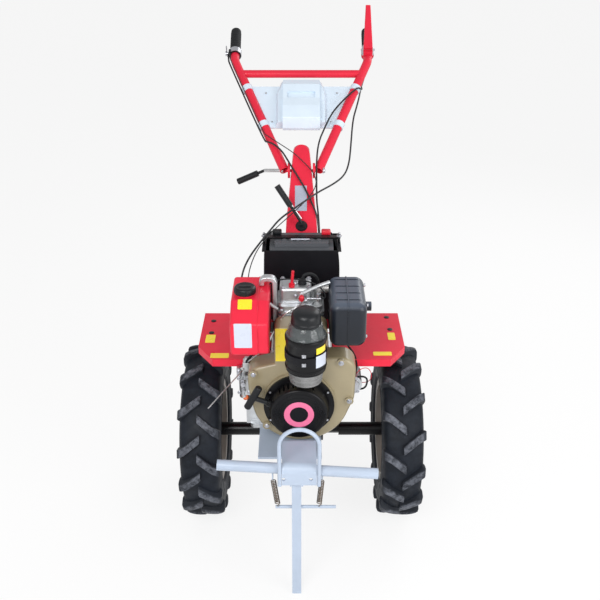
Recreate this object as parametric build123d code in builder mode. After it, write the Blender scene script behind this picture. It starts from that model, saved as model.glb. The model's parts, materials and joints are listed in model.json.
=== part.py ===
# Walk-behind power tiller with an air-cooled diesel engine, two lugged drive wheels and a drop
# stand. +Z is up, -Y is the front of the machine, +X is the operator's left. The origin is on the
# floor under the middle of the machine, and every layout value is measured from the wheel axle.
from build123d import *
from math import atan2, cos, hypot, pi, radians, sin, tan
import os

# --- layout, mm ---------------------------------------------------------------------------------
axle_y = -250.0
axle_z = 290.0             # axle height, which is the radius over the lugs
seat_gap = 0.3             # gap between a piece and the piece that carries it
plate = 5.0                # general plate thickness
sheet = 3.0                # general sheet thickness

# --- wheels -------------------------------------------------------------------------------------
wheel_x = 325.0            # middle of each tyre from the middle of the machine
lug_height = 18.0
carcass_r = axle_z - lug_height
shoulder_drop = 12.0
shoulder_r = carcass_r - shoulder_drop
shoulder_x = 58.0
sidewall_x = 66.5
bead_r = 152.4
bead_x = 50.4
bead_top_r = bead_r + 23.6
sidewall_r = (bead_top_r + shoulder_r) / 2
bead_foot = 16.0
tyre_wall = 10.0
lug_count = 14             # lugs on each side of the tread
lug_tip_r = axle_z
lug_edge_r = lug_tip_r - 5.0
lug_root_r = shoulder_r - 5.0
lug_overlap_x = 5.0        # each lug crosses the middle line by this much
lug_knee_x = 44.0
lug_end_x = 68.0
lug_crown_x = 48.0
lug_slant = 40.0           # circumferential run from the middle end to the knee
lug_tail = 12.0            # circumferential run from the knee to the shoulder end
lug_thick = 27.0           # measured round the tyre
lug_draft = 9.0
lug_lower_r = shoulder_r - 20.0

rim_flange_r = 173.5
rim_flange_t = 4.0
rim_well_r = 136.0
rim_well_x = 22.0
rim_seat_x = 32.0
rim_wall = 4.0
disc_t = 6.0
disc_face_x = -22.0        # inboard face of the wheel disc from the middle of the tyre
disc_flat_r = 92.0
disc_bore_r = 24.0
stud_circle_r = 50.0
stud_hole_r = 6.5
stud_count = 5

shaft_flats = 26.0
shaft_inner_x = 50.0       # inner end of each half shaft, inside the gearbox boss
shaft_outer_x = wheel_x + disc_face_x + disc_t
hub_r = 22.5
hub_inner_x = 128.0
hub_flange_r = 68.0
hub_flange_t = 9.0
shaft_corner_r = shaft_flats / 2 / cos(radians(30))
hub_bore_r = shaft_corner_r + seat_gap

# --- gearbox and clutch -------------------------------------------------------------------------
crank_x = -8.0
crank_z = 557.0
leg_half_x = 50.0
leg_r = 90.0
leg_top_y = 92.0
leg_top_z = 520.0
leg_top_r = 66.0
case_half_x = 80.0
case_front_y = 10.0
case_rear_y = 160.0
case_low_z = 470.0
case_top_z = 647.0
case_corner_r = 14.0
split_flange_t = 12.0
split_flange_out = 9.0
axle_boss_r = 40.0
axle_boss_x = 74.0
cable_tab_x = 68.0
cable_tab_y = 208.0
cable_tab_w = 24.0
cable_tab_z = 606.0
bell_r = 112.0
bell_rear_r = 96.0
bell_front_y = -50.0
bell_flange_t = 12.0
bell_flange_out = 8.0
hitch_pad_half_x = 42.0
hitch_pad_y = 162.0
hitch_pad_low_z = 345.0
hitch_pad_high_z = 455.0

# --- engine -------------------------------------------------------------------------------------
base_z = 410.0             # underside of the crankcase foot, top of the engine bed
foot_t = 14.0
foot_low_x = -165.0
foot_high_x = 110.0
crankcase_half_x = 95.0
crankcase_front_y = -158.0
crankcase_rear_y = bell_front_y
crankcase_top_z = 700.0
sump_low_x = -178.0
sump_top_z = 484.0
sump_front_y = -132.0
sump_rear_y = -62.0

shroud_front_y = -228.0
shroud_rear_y = crankcase_front_y
shroud_r = 150.0
shroud_x = -2.0
shroud_z = 562.0
shroud_wall = 3.0
shroud_edge_r = 11.0
shroud_ear_r = 45.0
shroud_ears = ((-119.0, 640.0), (-117.0, 604.0), (119.0, 670.0), (117.0, 580.0))   # x, z
duct_low_x = -82.0
duct_high_x = 77.0
duct_top_z = 822.0
duct_corner_r = 24.0
shroud_boss_r = 13.0
shroud_boss_t = 6.0
shroud_bosses = ((-146.0, 662.0), (118.0, 703.0), (146.0, 566.0), (-108.0, 474.0))   # x, z
shroud_window_r = 100.0

flywheel_r = 120.0
flywheel_front_y = -214.0
flywheel_rear_y = -172.0
crankshaft_r = 19.0

recoil_seat_y = -238.0
recoil_seat_r = 112.0
recoil_flange_r = 108.0
recoil_flange_t = 7.0
recoil_dome_r = 93.0
recoil_front_r = 86.0
recoil_front_y = -292.0
recoil_edge_r = 8.0
recoil_label_r = 46.0
recoil_label_depth = 1.2
recoil_hub_r = 26.0
recoil_bolts = 6
recoil_wall = 5.0
recoil_bolt_circle_r = 101.0
recoil_bolt_r = 3.4
recoil_slots = 8
recoil_slot_start = 62.0
recoil_slot_range = 78.0
recoil_slot_w = 6.0
recoil_slot_h = 26.0
recoil_slot_depth = 30.0
recoil_slot_gap = 6.0

rope_out = (-104.0, -268.0, 586.0)
rope_in = (-84.0, -268.0, 578.0)
rope_guide_r = 12.0
handle_bar_r = 11.0
handle_bar_half = 43.0
handle_bar_x = -146.0
handle_bar_y = rope_out[1]
rope_slope = (rope_out[2] - rope_in[2]) / (rope_in[0] - rope_out[0])
handle_bar_z = rope_out[2] + (rope_out[0] - handle_bar_x) * rope_slope
handle_bar_angle = 62.0
handle_stem_r = 8.0

cleaner_x = 12.0
cleaner_y = -300.0
cleaner_base_z = 652.0
cleaner_body_z = 698.0
cleaner_top_z = 820.0
cleaner_base_r = 50.0
cleaner_body_r = 58.0
cleaner_band_r = 60.5
cleaner_band_z = 708.0
cleaner_band_t = 12.0
bowl_rim_r = 60.0
bowl_rim_t = 8.0
bowl_top_r = 45.0
bowl_top_z = 866.0
bowl_wall = 2.5
cap_r = 42.5
cap_top_z = 938.0
cap_skirt_z = 872.0
cap_tube_r = 21.0
cap_lip = 6.0
cap_edge_r = 18.0
cleaner_strap_t = 2.5
cleaner_strap_z = 772.0
cleaner_strap_h = 22.0
cleaner_pad_half_x = 16.0

fin_count = 8
fin_pitch = 11.0
fin_t = 4.0
fin_half_x = 78.0
fin_front_y = -152.0
fin_rear_y = -38.0
barrel_r = 50.0
barrel_y = -96.0
head_low_x = -72.0
head_high_x = 68.0
head_low_z = 790.0
head_top_z = 846.0
head_front_y = -150.0
head_rear_y = -42.0
head_fin_t = 5.0
head_fin_pitch = 12.0
head_fins = 4
rocker_low_x = -66.0
rocker_high_x = 30.0
rocker_top_z = 898.0
rocker_front_y = -126.0
rocker_rear_y = -50.0
rocker_r = 12.0
rocker_flange_t = 7.0
rocker_flange_out = 7.0

intake_y = -118.0
intake_w = 26.0
intake_h = 15.0
intake_foot_x = rocker_low_x - rocker_flange_out - intake_h / 2 - seat_gap
intake_top_z = 930.0
intake_out_x = -120.0
intake_out_z = 911.0

exhaust_r = 14.0
exhaust_wall = 2.0
exhaust_y = -84.0
muffler_low_x = 82.0
muffler_high_x = 190.0
muffler_front_y = -236.0
muffler_rear_y = -34.0
muffler_low_z = 757.0
muffler_high_z = 900.0
muffler_r = 26.0
muffler_end_share = 0.8    # rounding of the end faces, as a share of muffler_r
muffler_seam_x = 136.0
muffler_wall = 6.0
muffler_seam_t = 3.0
muffler_seam_out = 3.0
muffler_ribs = 4
muffler_rib_pitch = 44.0
muffler_rib_w = 6.0
muffler_rib_depth = 2.0
outlet_r = 14.0
outlet_wall = 2.0
outlet_x = 208.0
outlet_y = -150.0
outlet_z = 852.0

tank_low_x = -206.0
tank_step_x = -128.0
tank_high_x = -94.0
tank_step = 2.5
tank_front_y = -290.0
tank_rear_y = -58.0
tank_lift = 62.0
tank_low_z = crankcase_top_z + tank_lift
tank_brow_z = tank_low_z + 104.0
tank_top_z = tank_low_z + 146.0
tank_flat_y = -215.0
tank_edge_r = 12.0
tank_outer_share = 0.8     # rounding of the end faces, as a share of tank_edge_r
tank_inner_share = 0.6
tank_cap_x = -166.0
tank_cap_y = -180.0
tank_cap_r = 33.0
tank_cap_h = 22.0
tank_neck_r = 26.0
tank_neck_h = 6.0
tank_bracket_t = 4.0
tank_bracket_x = -86.4
tank_bracket_in = 20.0
tank_bracket_w = 60.0
tank_bracket_rear_y = -88.0
tank_wall = 4.0
tank_neck_bore_r = 20.0

starter_x = 160.0
starter_z = 566.0
starter_r = 31.0
starter_front_y = -158.0
starter_rear_y = -66.0
starter_nose_r = 24.0
solenoid_r = 17.0
pump_x = -182.0
pump_y = -136.0
pump_low_z = 536.0
pump_block_h = 72.0
pump_block_w = 40.0
pump_edge_r = 6.0
pump_drop = 16.0
pump_r = 15.0

# --- engine bed, bumper and stand ---------------------------------------------------------------
bed_low_x = -134.0
bed_high_x = 62.0
bed_front_y = -307.0
bed_rear_y = -54.0
bed_t = 8.0
rail_in_x = leg_half_x + seat_gap
rail_t = 8.0
rail_low_z = 368.0
rail_front_y = -285.0
rail_rear_y = 26.0

bumper_x = -12.0
bumper_y = -430.0
bumper_z = 463.0
bumper_r = 16.0
bumper_wall = 2.5
bumper_length = 470.0
bumper_tilt = 4.0          # the right end sits higher than the left one

hoop_x = -7.0
hoop_r = 57.3
hoop_bar_r = 6.0
hoop_top_z = 622.0         # middle of the bar at the crown
hoop_low_z = 421.0
hoop_y = bumper_y - bumper_r - hoop_bar_r - seat_gap

apron_low_x = hoop_x - hoop_r + hoop_bar_r + 0.7
apron_high_x = hoop_x + hoop_r - hoop_bar_r - 0.7
apron_rise = (apron_high_x - apron_low_x) / 2 * tan(radians(bumper_tilt))
apron_bend_r = bumper_r + apron_rise + seat_gap + plate / 2
apron_low_z = 424.0
apron_foot_z = 392.0
apron_rear_y = bed_front_y - seat_gap - plate / 2
apron_top_z = bumper_z + apron_bend_r
apron_front_y = bumper_y - apron_bend_r
apron_bolt_x = -13.0
apron_bolt_z = 446.0
apron_bolt_spacing = 79.0
apron_bolt_r = 5.25

stand_x = -15.0
stand_side = 28.0
stand_wall = 3.0
hinge_y = -428.0
hinge_z = 429.0
foot_y = -453.0
stand_bore_r = 5.3
pin_r = 5.0
pin_head_r = 8.0
pin_head_t = 3.0
ear_gap = 0.5
ear_t = 5.0
ear_r = 12.0
rod_r = 5.0
rod_low_x = -78.0
rod_high_x = 102.0
rod_z = 325.0
spring_r = 8.0
spring_wire_r = 1.4
spring_turns = 14
spring_hook_r = 7.0
spring_tab_t = 4.0
spring_tab_half = 8.0
spring_tab_low_z = 434.0
springs = ((-85.0, -70.0), (60.0, 51.0))   # x at the top, x at the rod

# --- fenders ------------------------------------------------------------------------------------
fender_z = 655.0
fender_in_x = 100.0
fender_out_x = 330.0
fender_front_y = -136.0
fender_rear_y = 164.0
fender_cut_x = 52.0
fender_cut_y = 78.0
fender_lip = 22.0
fender_hole_r = 5.0
fender_hole_in = 30.0
strut_top_x = 196.0
strut_top_y = 26.0
strut_foot_y = 26.0
strut_foot_z = 590.0
strut_w = 24.0
strut_t = 5.0
fender_brackets = ((14.0, 38.0), (134.0, 158.0))   # front y, rear y

# --- battery ------------------------------------------------------------------------------------
box_half_x = 116.0
box_front_y = 40.0
box_rear_y = 180.0
box_low_z = 700.0
box_high_z = 946.0
box_wall = 3.0
box_flange = 9.0
box_leg_deep = 88.0
box_leg_y = 86.0
battery_half_x = 101.0
battery_front_y = 46.0
battery_rear_y = 174.0
battery_low_z = box_low_z + box_wall
battery_high_z = 948.0
battery_lid_h = 12.0
battery_edge_r = 4.0
battery_lid_in_x = 30.0    # the lid is this much narrower than the case
battery_lid_in_y = 44.0
terminal_back = 34.0       # terminals behind the middle of the case
terminal_in = 22.0         # terminals from the case's sides
terminal_r = 10.0
terminal_h = 14.0

# --- handle column ------------------------------------------------------------------------------
column_front_y = 190.0
column_knee_z = 944.0
column_top_y = 446.0
column_top_z = 1163.0
column_low_z = case_top_z
column_deep = 62.0
column_bend_share = 0.4    # rear bend below the front one, as a share of column_deep
column_low_half = 55.0
column_mid_half = 52.0
column_top_half = 28.0
column_foot_t = 10.0
column_seat_low_z = 585.0

# --- handlebar ----------------------------------------------------------------------------------
pivot_y = 400.0
pivot_z = 1085.0
tube_r = 16.0
tube_wall = 2.5
bar_low_x = 58.0
bar_bend_x = 246.0
bar_bend_y = 800.0
bar_bend_z = 1370.0
grip_x = 249.0
grip_end_y = 958.0
grip_end_z = 1446.0
bar_bend_r = 90.0
grip_r = 19.0
grip_length = 118.0
crossbar_along = 430.0
crossbar_r = 14.0

console_low = 182.0        # distances along the handlebar from the pivot
console_high = 368.0
console_t = 6.0
console_wall = 3.0
hood_draft = 9.0
hood_half_low = 92.0
hood_half_high = 74.0
hood_shoulder = 330.0
hood_high = 386.0
hood_t = 24.0
face_half = 66.0
face_t = 38.0
face_high = 350.0
face_edge_r = 5.0
belly_low = 170.0
belly_high = 248.0
belly_t = 46.0
slot_low = 288.0
slot_high = 318.0
slot_half = 50.0
slot_depth = 9.0
console_screws = ((-128.0, 336.0), (128.0, 336.0), (-104.0, 206.0), (104.0, 206.0))   # x, along
screw_boss_r = 7.0
screw_boss_t = 2.0
clamp_half_l = 11.0

lever_rise = 28.0
lever_reach = 176.0
lever_slope = 26.0         # degrees between the lever and the grip
lever_base_half = 17.0
lever_tip_half = 9.0
lever_base_t = 22.0
lever_tip_t = 12.0
lever_wall = 3.0
ferrule_r = 5.0
ferrule_l = 16.0
ferrule_out = 24.5
ferrule_lead = 20.0
cable_bend = 0.45          # share of the shorter run beside it that a bend takes


def side_plane(x):
    """Plane facing +X, with the ground point under the axle as its origin."""
    return Plane(origin=(x, axle_y, 0), x_dir=(0, 1, 0), z_dir=(1, 0, 0))


def front_plane(y):
    """Plane facing the front, y behind the axle."""
    return Plane(origin=(0, axle_y + y, 0), x_dir=(1, 0, 0), z_dir=(0, -1, 0))


def level_plane(z):
    """Plane facing up at height z, with its origin over the axle."""
    return Plane(origin=(0, axle_y, z))


def ring_plane(start, end):
    """Plane at start that faces end, both measured from the ground point under the axle."""
    move = Vector(0, axle_y, 0)
    return Plane(origin=Vector(*start) + move, z_dir=Vector(*end) - Vector(*start))


os.makedirs("parts", exist_ok=True)

# --- wheels: tyre, rim, hub and half shaft, made about their own axis with the machine side down ---
with BuildPart() as lug_form:
    with BuildSketch(Plane(origin=(lug_root_r, 0, 0), x_dir=(0, 0, 1), z_dir=(1, 0, 0))):
        with BuildLine():
            Polyline(
                (-lug_overlap_x, -lug_slant / 2 - lug_thick / 2),
                (-lug_overlap_x, -lug_slant / 2 + lug_thick / 2),
                (lug_knee_x, lug_slant / 2 + lug_thick / 2),
                (lug_end_x, lug_slant / 2 + lug_tail + lug_thick / 2),
                (lug_end_x, lug_slant / 2 + lug_tail - lug_thick / 2),
                (lug_knee_x, lug_slant / 2 - lug_thick / 2),
                close=True,
            )
        make_face()
    extrude(amount=lug_tip_r - lug_lower_r, taper=lug_draft)
    with BuildSketch(Plane.XZ):
        with BuildLine():
            Polyline(
                (lug_root_r, -lug_end_x),
                (lug_tip_r, -lug_end_x),
                (lug_tip_r, lug_crown_x / 2),
                (lug_edge_r, lug_crown_x),
                (shoulder_r, lug_end_x),
                (lug_root_r, lug_end_x),
                close=True,
            )
        make_face()
    revolve(axis=Axis.Z, mode=Mode.INTERSECT)

with BuildPart() as tyre_form:
    with BuildSketch(Plane.XZ):
        with BuildLine():
            Polyline(
                (bead_r, -bead_x),
                (bead_r, -bead_x + bead_foot),
                (sidewall_r, -sidewall_x + tyre_wall),
                (shoulder_r - tyre_wall, -shoulder_x + tyre_wall),
                (shoulder_r - tyre_wall, shoulder_x - tyre_wall),
                (sidewall_r, sidewall_x - tyre_wall),
                (bead_r, bead_x - bead_foot),
                (bead_r, bead_x),
                (bead_top_r, bead_x),
                (sidewall_r, sidewall_x),
                (shoulder_r, shoulder_x),
                (carcass_r, shoulder_x / 2),
                (carcass_r, -shoulder_x / 2),
                (shoulder_r, -shoulder_x),
                (sidewall_r, -sidewall_x),
                (bead_top_r, -bead_x),
                close=True,
            )
        make_face()
    revolve(axis=Axis.Z)
    with PolarLocations(0, lug_count):
        add(lug_form.part)
    with PolarLocations(0, lug_count, start_angle=180 / lug_count):
        add(mirror(lug_form.part, about=Plane.XY, mode=Mode.PRIVATE))

with BuildPart() as rim_form:
    with BuildSketch(Plane.XZ):
        with BuildLine():
            Polyline(
                (rim_flange_r, -bead_x - seat_gap - rim_flange_t),
                (rim_flange_r, -bead_x - seat_gap),
                (bead_r - seat_gap, -bead_x - seat_gap),
                (bead_r - seat_gap, -rim_seat_x),
                (rim_well_r, -rim_well_x),
                (rim_well_r, rim_well_x),
                (bead_r - seat_gap, rim_seat_x),
                (bead_r - seat_gap, bead_x + seat_gap),
                (rim_flange_r, bead_x + seat_gap),
                (rim_flange_r, bead_x + seat_gap + rim_flange_t),
                (bead_r - seat_gap - rim_wall, bead_x + seat_gap + rim_flange_t),
                (bead_r - seat_gap - rim_wall, rim_seat_x + rim_wall / 2),
                (rim_well_r - rim_wall, rim_well_x + rim_wall / 2),
                (rim_well_r - rim_wall, -rim_well_x - rim_wall / 2),
                (bead_r - seat_gap - rim_wall, -rim_seat_x - rim_wall / 2),
                (bead_r - seat_gap - rim_wall, -bead_x - seat_gap - rim_flange_t),
                close=True,
            )
        make_face()
        with BuildLine():
            Polyline(
                (disc_bore_r, disc_face_x),
                (disc_flat_r, disc_face_x),
                (rim_well_r - rim_wall / 2, -disc_t / 2),
                (rim_well_r - rim_wall / 2, disc_t / 2),
                (disc_flat_r, disc_face_x + disc_t),
                (disc_bore_r, disc_face_x + disc_t),
                close=True,
            )
        make_face()
    revolve(axis=Axis.Z)
    with Locations(Plane(origin=(0, 0, disc_face_x + disc_t))):
        with PolarLocations(stud_circle_r, stud_count):
            Hole(stud_hole_r, depth=disc_t * 2)

with BuildPart() as hub_form:
    with BuildSketch(Plane(origin=(0, 0, hub_inner_x - wheel_x))):
        Circle(hub_r)
    extrude(amount=wheel_x + disc_face_x - hub_inner_x)
    with BuildSketch(Plane(origin=(0, 0, disc_face_x - hub_flange_t))):
        Circle(hub_flange_r)
    extrude(amount=hub_flange_t)
    with BuildSketch(Plane(origin=(0, 0, disc_face_x - hub_flange_t))):
        with PolarLocations(stud_circle_r, stud_count):
            Circle(stud_hole_r)
    extrude(amount=hub_flange_t, mode=Mode.SUBTRACT)
    with BuildSketch(Plane(origin=(0, 0, shaft_inner_x - wheel_x))):
        RegularPolygon(shaft_corner_r, 6)
    extrude(amount=shaft_outer_x - shaft_inner_x)

wheel_planes = {
    "left": Plane(origin=(wheel_x, axle_y, axle_z), x_dir=(0, -1, 0), z_dir=(1, 0, 0)),
    "right": Plane(origin=(-wheel_x, axle_y, axle_z), x_dir=(0, -1, 0), z_dir=(-1, 0, 0)),
}
wheel_forms = {"tyre": tyre_form, "rim": rim_form, "hub": hub_form}
for side, wheel_plane in wheel_planes.items():
    for form_name, form in wheel_forms.items():
        with BuildPart(wheel_plane) as wheel_piece:
            add(form.part)
        wheel_piece.part.label = f"{form_name}_{side}"
        export_step(wheel_piece.part, f"parts/{form_name}_{side}.step")

# --- gearbox ------------------------------------------------------------------------------------
with BuildPart() as gearbox:
    with BuildSketch(side_plane(-leg_half_x)):
        with Locations((0, axle_z)):
            Circle(leg_r)
        with Locations((leg_top_y, leg_top_z)):
            Circle(leg_top_r)
        make_hull()
    extrude(amount=leg_half_x * 2)
    with BuildSketch(side_plane(-split_flange_t / 2)):
        with Locations((0, axle_z)):
            Circle(leg_r + split_flange_out)
        with Locations((leg_top_y, leg_top_z)):
            Circle(leg_top_r + split_flange_out)
        make_hull()
    extrude(amount=split_flange_t)
    with BuildSketch(level_plane(case_low_z)):
        with Locations((0, (case_front_y + case_rear_y) / 2)):
            RectangleRounded(case_half_x * 2, case_rear_y - case_front_y, case_corner_r)
    extrude(amount=case_top_z - case_low_z)
    with BuildSketch(side_plane(-axle_boss_x)):
        with Locations((0, axle_z)):
            Circle(axle_boss_r)
    extrude(amount=axle_boss_x * 2)
    with BuildSketch(level_plane(hitch_pad_low_z)):
        with Locations((0, hitch_pad_y / 2)):
            Rectangle(hitch_pad_half_x * 2, hitch_pad_y)
    extrude(amount=hitch_pad_high_z - hitch_pad_low_z)
    with BuildSketch(side_plane(-column_low_half)):
        with BuildLine():
            Polyline(
                (case_rear_y - case_corner_r, case_top_z),
                (column_front_y + column_deep, case_top_z),
                (column_front_y + column_deep, case_top_z - column_foot_t),
                (case_rear_y - case_corner_r, column_seat_low_z),
                close=True,
            )
        make_face()
    extrude(amount=column_low_half * 2)
    with BuildSketch(level_plane(cable_tab_z)):
        with Locations((cable_tab_x, (case_rear_y + cable_tab_y) / 2)):
            Rectangle(cable_tab_w, cable_tab_y - case_rear_y)
    extrude(amount=-plate)
    with BuildSketch(front_plane(case_front_y)):
        with Locations((crank_x, crank_z)):
            Circle(bell_r + bell_flange_out + seat_gap)
    extrude(amount=leg_r + case_front_y, mode=Mode.SUBTRACT)
    for boss_side in (-1, 1):
        with BuildSketch(side_plane(boss_side * axle_boss_x)):
            with Locations((0, axle_z)):
                Circle(hub_bore_r)
        extrude(amount=-boss_side * (axle_boss_x - shaft_inner_x), mode=Mode.SUBTRACT)
gearbox.part.label = "gearbox"
export_step(gearbox.part, "parts/gearbox.step")

hitch_y = 212.0
hitch_bore_r = 11.0
hitch_half_x = 30.0
hitch_low_z = 370.0
hitch_high_z = 430.0
with BuildPart() as hitch:
    with BuildSketch(level_plane(hitch_low_z)):
        with Locations((0, (hitch_pad_y + hitch_y) / 2)):
            Rectangle(hitch_half_x * 2, hitch_y - hitch_pad_y)
        with Locations((0, hitch_y)):
            Circle(hitch_half_x)
            Circle(hitch_bore_r, mode=Mode.SUBTRACT)
    extrude(amount=hitch_high_z - hitch_low_z)
    with BuildSketch(front_plane(hitch_pad_y + plate * 2)):
        with Locations((0, (hitch_pad_low_z + hitch_pad_high_z) / 2)):
            RectangleRounded(hitch_pad_half_x * 2, hitch_pad_high_z - hitch_pad_low_z, plate)
    extrude(amount=plate * 2)
hitch.part.label = "hitch"
export_step(hitch.part, "parts/hitch.step")

with BuildPart() as clutch_housing:
    with BuildSketch(front_plane(case_front_y)):
        with Locations((crank_x, crank_z)):
            Circle(bell_rear_r)
    with BuildSketch(front_plane(bell_front_y + bell_flange_t)):
        with Locations((crank_x, crank_z)):
            Circle(bell_r)
    loft()
    with BuildSketch(front_plane(bell_front_y + bell_flange_t)):
        with Locations((crank_x, crank_z)):
            Circle(bell_r + bell_flange_out)
    extrude(amount=bell_flange_t)
    with BuildSketch(front_plane(case_front_y)):
        with Locations((crank_x, crank_z)):
            Circle(bell_rear_r + bell_flange_out)
    extrude(amount=bell_flange_t)
clutch_housing.part.label = "clutch_housing"
export_step(clutch_housing.part, "parts/clutch_housing.step")

# --- engine -------------------------------------------------------------------------------------
with BuildPart() as crankcase:
    with BuildSketch(level_plane(base_z)):
        with Locations(((foot_low_x + foot_high_x) / 2, (crankcase_front_y + crankcase_rear_y) / 2)):
            RectangleRounded(
                foot_high_x - foot_low_x, crankcase_rear_y - crankcase_front_y, case_corner_r
            )
    extrude(amount=foot_t)
    with BuildSketch(front_plane(crankcase_rear_y)):
        with Locations((0, (base_z + crankcase_top_z) / 2)):
            RectangleRounded(crankcase_half_x * 2, crankcase_top_z - base_z, case_corner_r)
    extrude(amount=crankcase_rear_y - crankcase_front_y)
    with BuildSketch(front_plane(crankcase_rear_y)):
        with Locations((crank_x, crank_z)):
            Circle(bell_r + bell_flange_out)
    extrude(amount=bell_flange_t)
    with BuildSketch(front_plane(sump_rear_y)):
        with BuildLine():
            Polyline(
                (sump_low_x, base_z),
                (sump_low_x, sump_top_z - case_corner_r),
                (sump_low_x + case_corner_r, sump_top_z),
                (0, sump_top_z),
                (0, base_z),
                close=True,
            )
        make_face()
    extrude(amount=sump_rear_y - sump_front_y)
    with BuildSketch(front_plane(crankcase_front_y)):
        with Locations((crank_x, crank_z)):
            Circle(crankshaft_r)
    extrude(amount=crankcase_front_y - flywheel_rear_y)
    with BuildSketch(front_plane(flywheel_rear_y)):
        with Locations((crank_x, crank_z)):
            Circle(flywheel_r)
    extrude(amount=flywheel_rear_y - flywheel_front_y)
    with BuildSketch(front_plane(tank_bracket_rear_y)):
        with BuildLine():
            Polyline(
                (tank_low_x + tank_bracket_in, tank_low_z),
                (tank_bracket_x, tank_low_z),
                (tank_bracket_x, crankcase_top_z - tank_bracket_t),
                (tank_bracket_x - tank_bracket_t, crankcase_top_z - tank_bracket_t),
                (tank_bracket_x - tank_bracket_t, tank_low_z - tank_bracket_t),
                (tank_low_x + tank_bracket_in, tank_low_z - tank_bracket_t),
                close=True,
            )
        make_face()
    extrude(amount=tank_bracket_w)
crankcase.part.label = "crankcase"
export_step(crankcase.part, "parts/crankcase.step")

with BuildPart() as fan_shroud:
    with BuildSketch(front_plane(shroud_rear_y)) as shroud_outline:
        with Locations((shroud_x, shroud_z)):
            Circle(shroud_r)
        with Locations(*shroud_ears):
            Circle(shroud_ear_r)
        make_hull()
        with BuildLine():
            Polyline(
                (duct_low_x, shroud_z),
                (duct_low_x, duct_top_z),
                (duct_high_x, duct_top_z),
                (duct_high_x, shroud_z),
                close=True,
            )
        make_face()
        fillet(shroud_outline.vertices().group_by(Axis.Y)[-1], duct_corner_r)
    extrude(amount=shroud_rear_y - shroud_front_y)
    fillet(fan_shroud.faces().sort_by(Axis.Y)[0].edges(), shroud_edge_r)
    with BuildSketch(front_plane(shroud_rear_y)):
        add(offset(shroud_outline.sketch, -shroud_wall - 1, mode=Mode.PRIVATE))
    extrude(amount=shroud_rear_y - shroud_front_y - shroud_wall - 1, mode=Mode.SUBTRACT)
    with BuildSketch(front_plane(shroud_front_y + shroud_wall)):
        with Locations((crank_x, crank_z)):
            Circle(recoil_seat_r)
    extrude(amount=shroud_front_y + shroud_wall - recoil_seat_y)
    with BuildSketch(front_plane(shroud_rear_y)):
        with Locations((crank_x, crank_z)):
            Circle(shroud_window_r)
    extrude(amount=shroud_rear_y - recoil_seat_y, mode=Mode.SUBTRACT)
    with BuildSketch(front_plane(shroud_front_y + shroud_wall)):
        with Locations(*shroud_bosses):
            Circle(shroud_boss_r)
    extrude(amount=shroud_wall + shroud_boss_t)
    with BuildSketch(Plane(origin=(cleaner_x, axle_y + cleaner_y, cleaner_strap_z))):
        Circle(cleaner_body_r + seat_gap + cleaner_strap_t)
        with Locations((0, (shroud_front_y - cleaner_y) / 2)):
            Rectangle(cleaner_pad_half_x * 2, shroud_front_y - cleaner_y)
        Circle(cleaner_body_r + seat_gap, mode=Mode.SUBTRACT)
    extrude(amount=cleaner_strap_h)
fan_shroud.part.label = "fan_shroud"
export_step(fan_shroud.part, "parts/fan_shroud.step")

with BuildPart() as recoil_cover:
    with BuildSketch(front_plane(recoil_seat_y)):
        with Locations((crank_x, crank_z)):
            Circle(recoil_flange_r)
    extrude(amount=recoil_flange_t)
    with BuildSketch(front_plane(recoil_seat_y - recoil_flange_t)):
        with Locations((crank_x, crank_z)):
            Circle(recoil_dome_r)
    with BuildSketch(front_plane(recoil_front_y)):
        with Locations((crank_x, crank_z)):
            Circle(recoil_front_r)
    loft()
    fillet(recoil_cover.edges().sort_by(Axis.Y)[0], recoil_edge_r)
    with BuildSketch(front_plane(recoil_front_y + recoil_label_depth)):
        with Locations((crank_x, crank_z)):
            Circle(recoil_label_r)
            Circle(recoil_hub_r, mode=Mode.SUBTRACT)
    extrude(amount=recoil_label_depth, mode=Mode.SUBTRACT)
    with BuildSketch(front_plane(recoil_seat_y - recoil_flange_t)):
        with Locations((crank_x, crank_z)):
            with PolarLocations(recoil_bolt_circle_r, recoil_bolts, start_angle=30):
                Circle(recoil_bolt_r * 2)
    extrude(amount=recoil_bolt_r)
    with BuildSketch(front_plane(recoil_seat_y - recoil_flange_t - recoil_slot_gap)):
        with Locations((crank_x, crank_z)):
            with PolarLocations(recoil_dome_r, recoil_slots, recoil_slot_start, recoil_slot_range):
                Rectangle(recoil_slot_depth, recoil_slot_w)
    extrude(amount=recoil_slot_h, mode=Mode.SUBTRACT)
    with BuildSketch(ring_plane(rope_out, rope_in)):
        Circle(rope_guide_r)
    extrude(amount=(Vector(*rope_in) - Vector(*rope_out)).length)
    with BuildSketch(front_plane(recoil_seat_y)):
        with Locations((crank_x, crank_z)):
            Circle(recoil_front_r - recoil_wall)
    extrude(amount=recoil_seat_y - recoil_front_y - recoil_wall, mode=Mode.SUBTRACT)
recoil_cover.part.label = "recoil_cover"
export_step(recoil_cover.part, "parts/recoil_cover.step")

bar_dx = handle_bar_half * cos(radians(handle_bar_angle))
bar_dz = handle_bar_half * sin(radians(handle_bar_angle))
bar_start = (handle_bar_x - bar_dx, handle_bar_y, handle_bar_z - bar_dz)
bar_end = (handle_bar_x + bar_dx, handle_bar_y, handle_bar_z + bar_dz)
stem_end = rope_out
with BuildPart() as recoil_handle:
    with BuildSketch(ring_plane(bar_start, bar_end)):
        Circle(handle_bar_r)
    extrude(amount=handle_bar_half * 2)
    fillet(recoil_handle.edges().filter_by(GeomType.CIRCLE), handle_bar_r / 2)
    with BuildSketch(ring_plane((handle_bar_x, handle_bar_y, handle_bar_z), stem_end)):
        Circle(handle_stem_r)
    extrude(amount=hypot(stem_end[0] - handle_bar_x, stem_end[2] - handle_bar_z) - seat_gap)
recoil_handle.part.label = "recoil_handle"
export_step(recoil_handle.part, "parts/recoil_handle.step")

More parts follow.
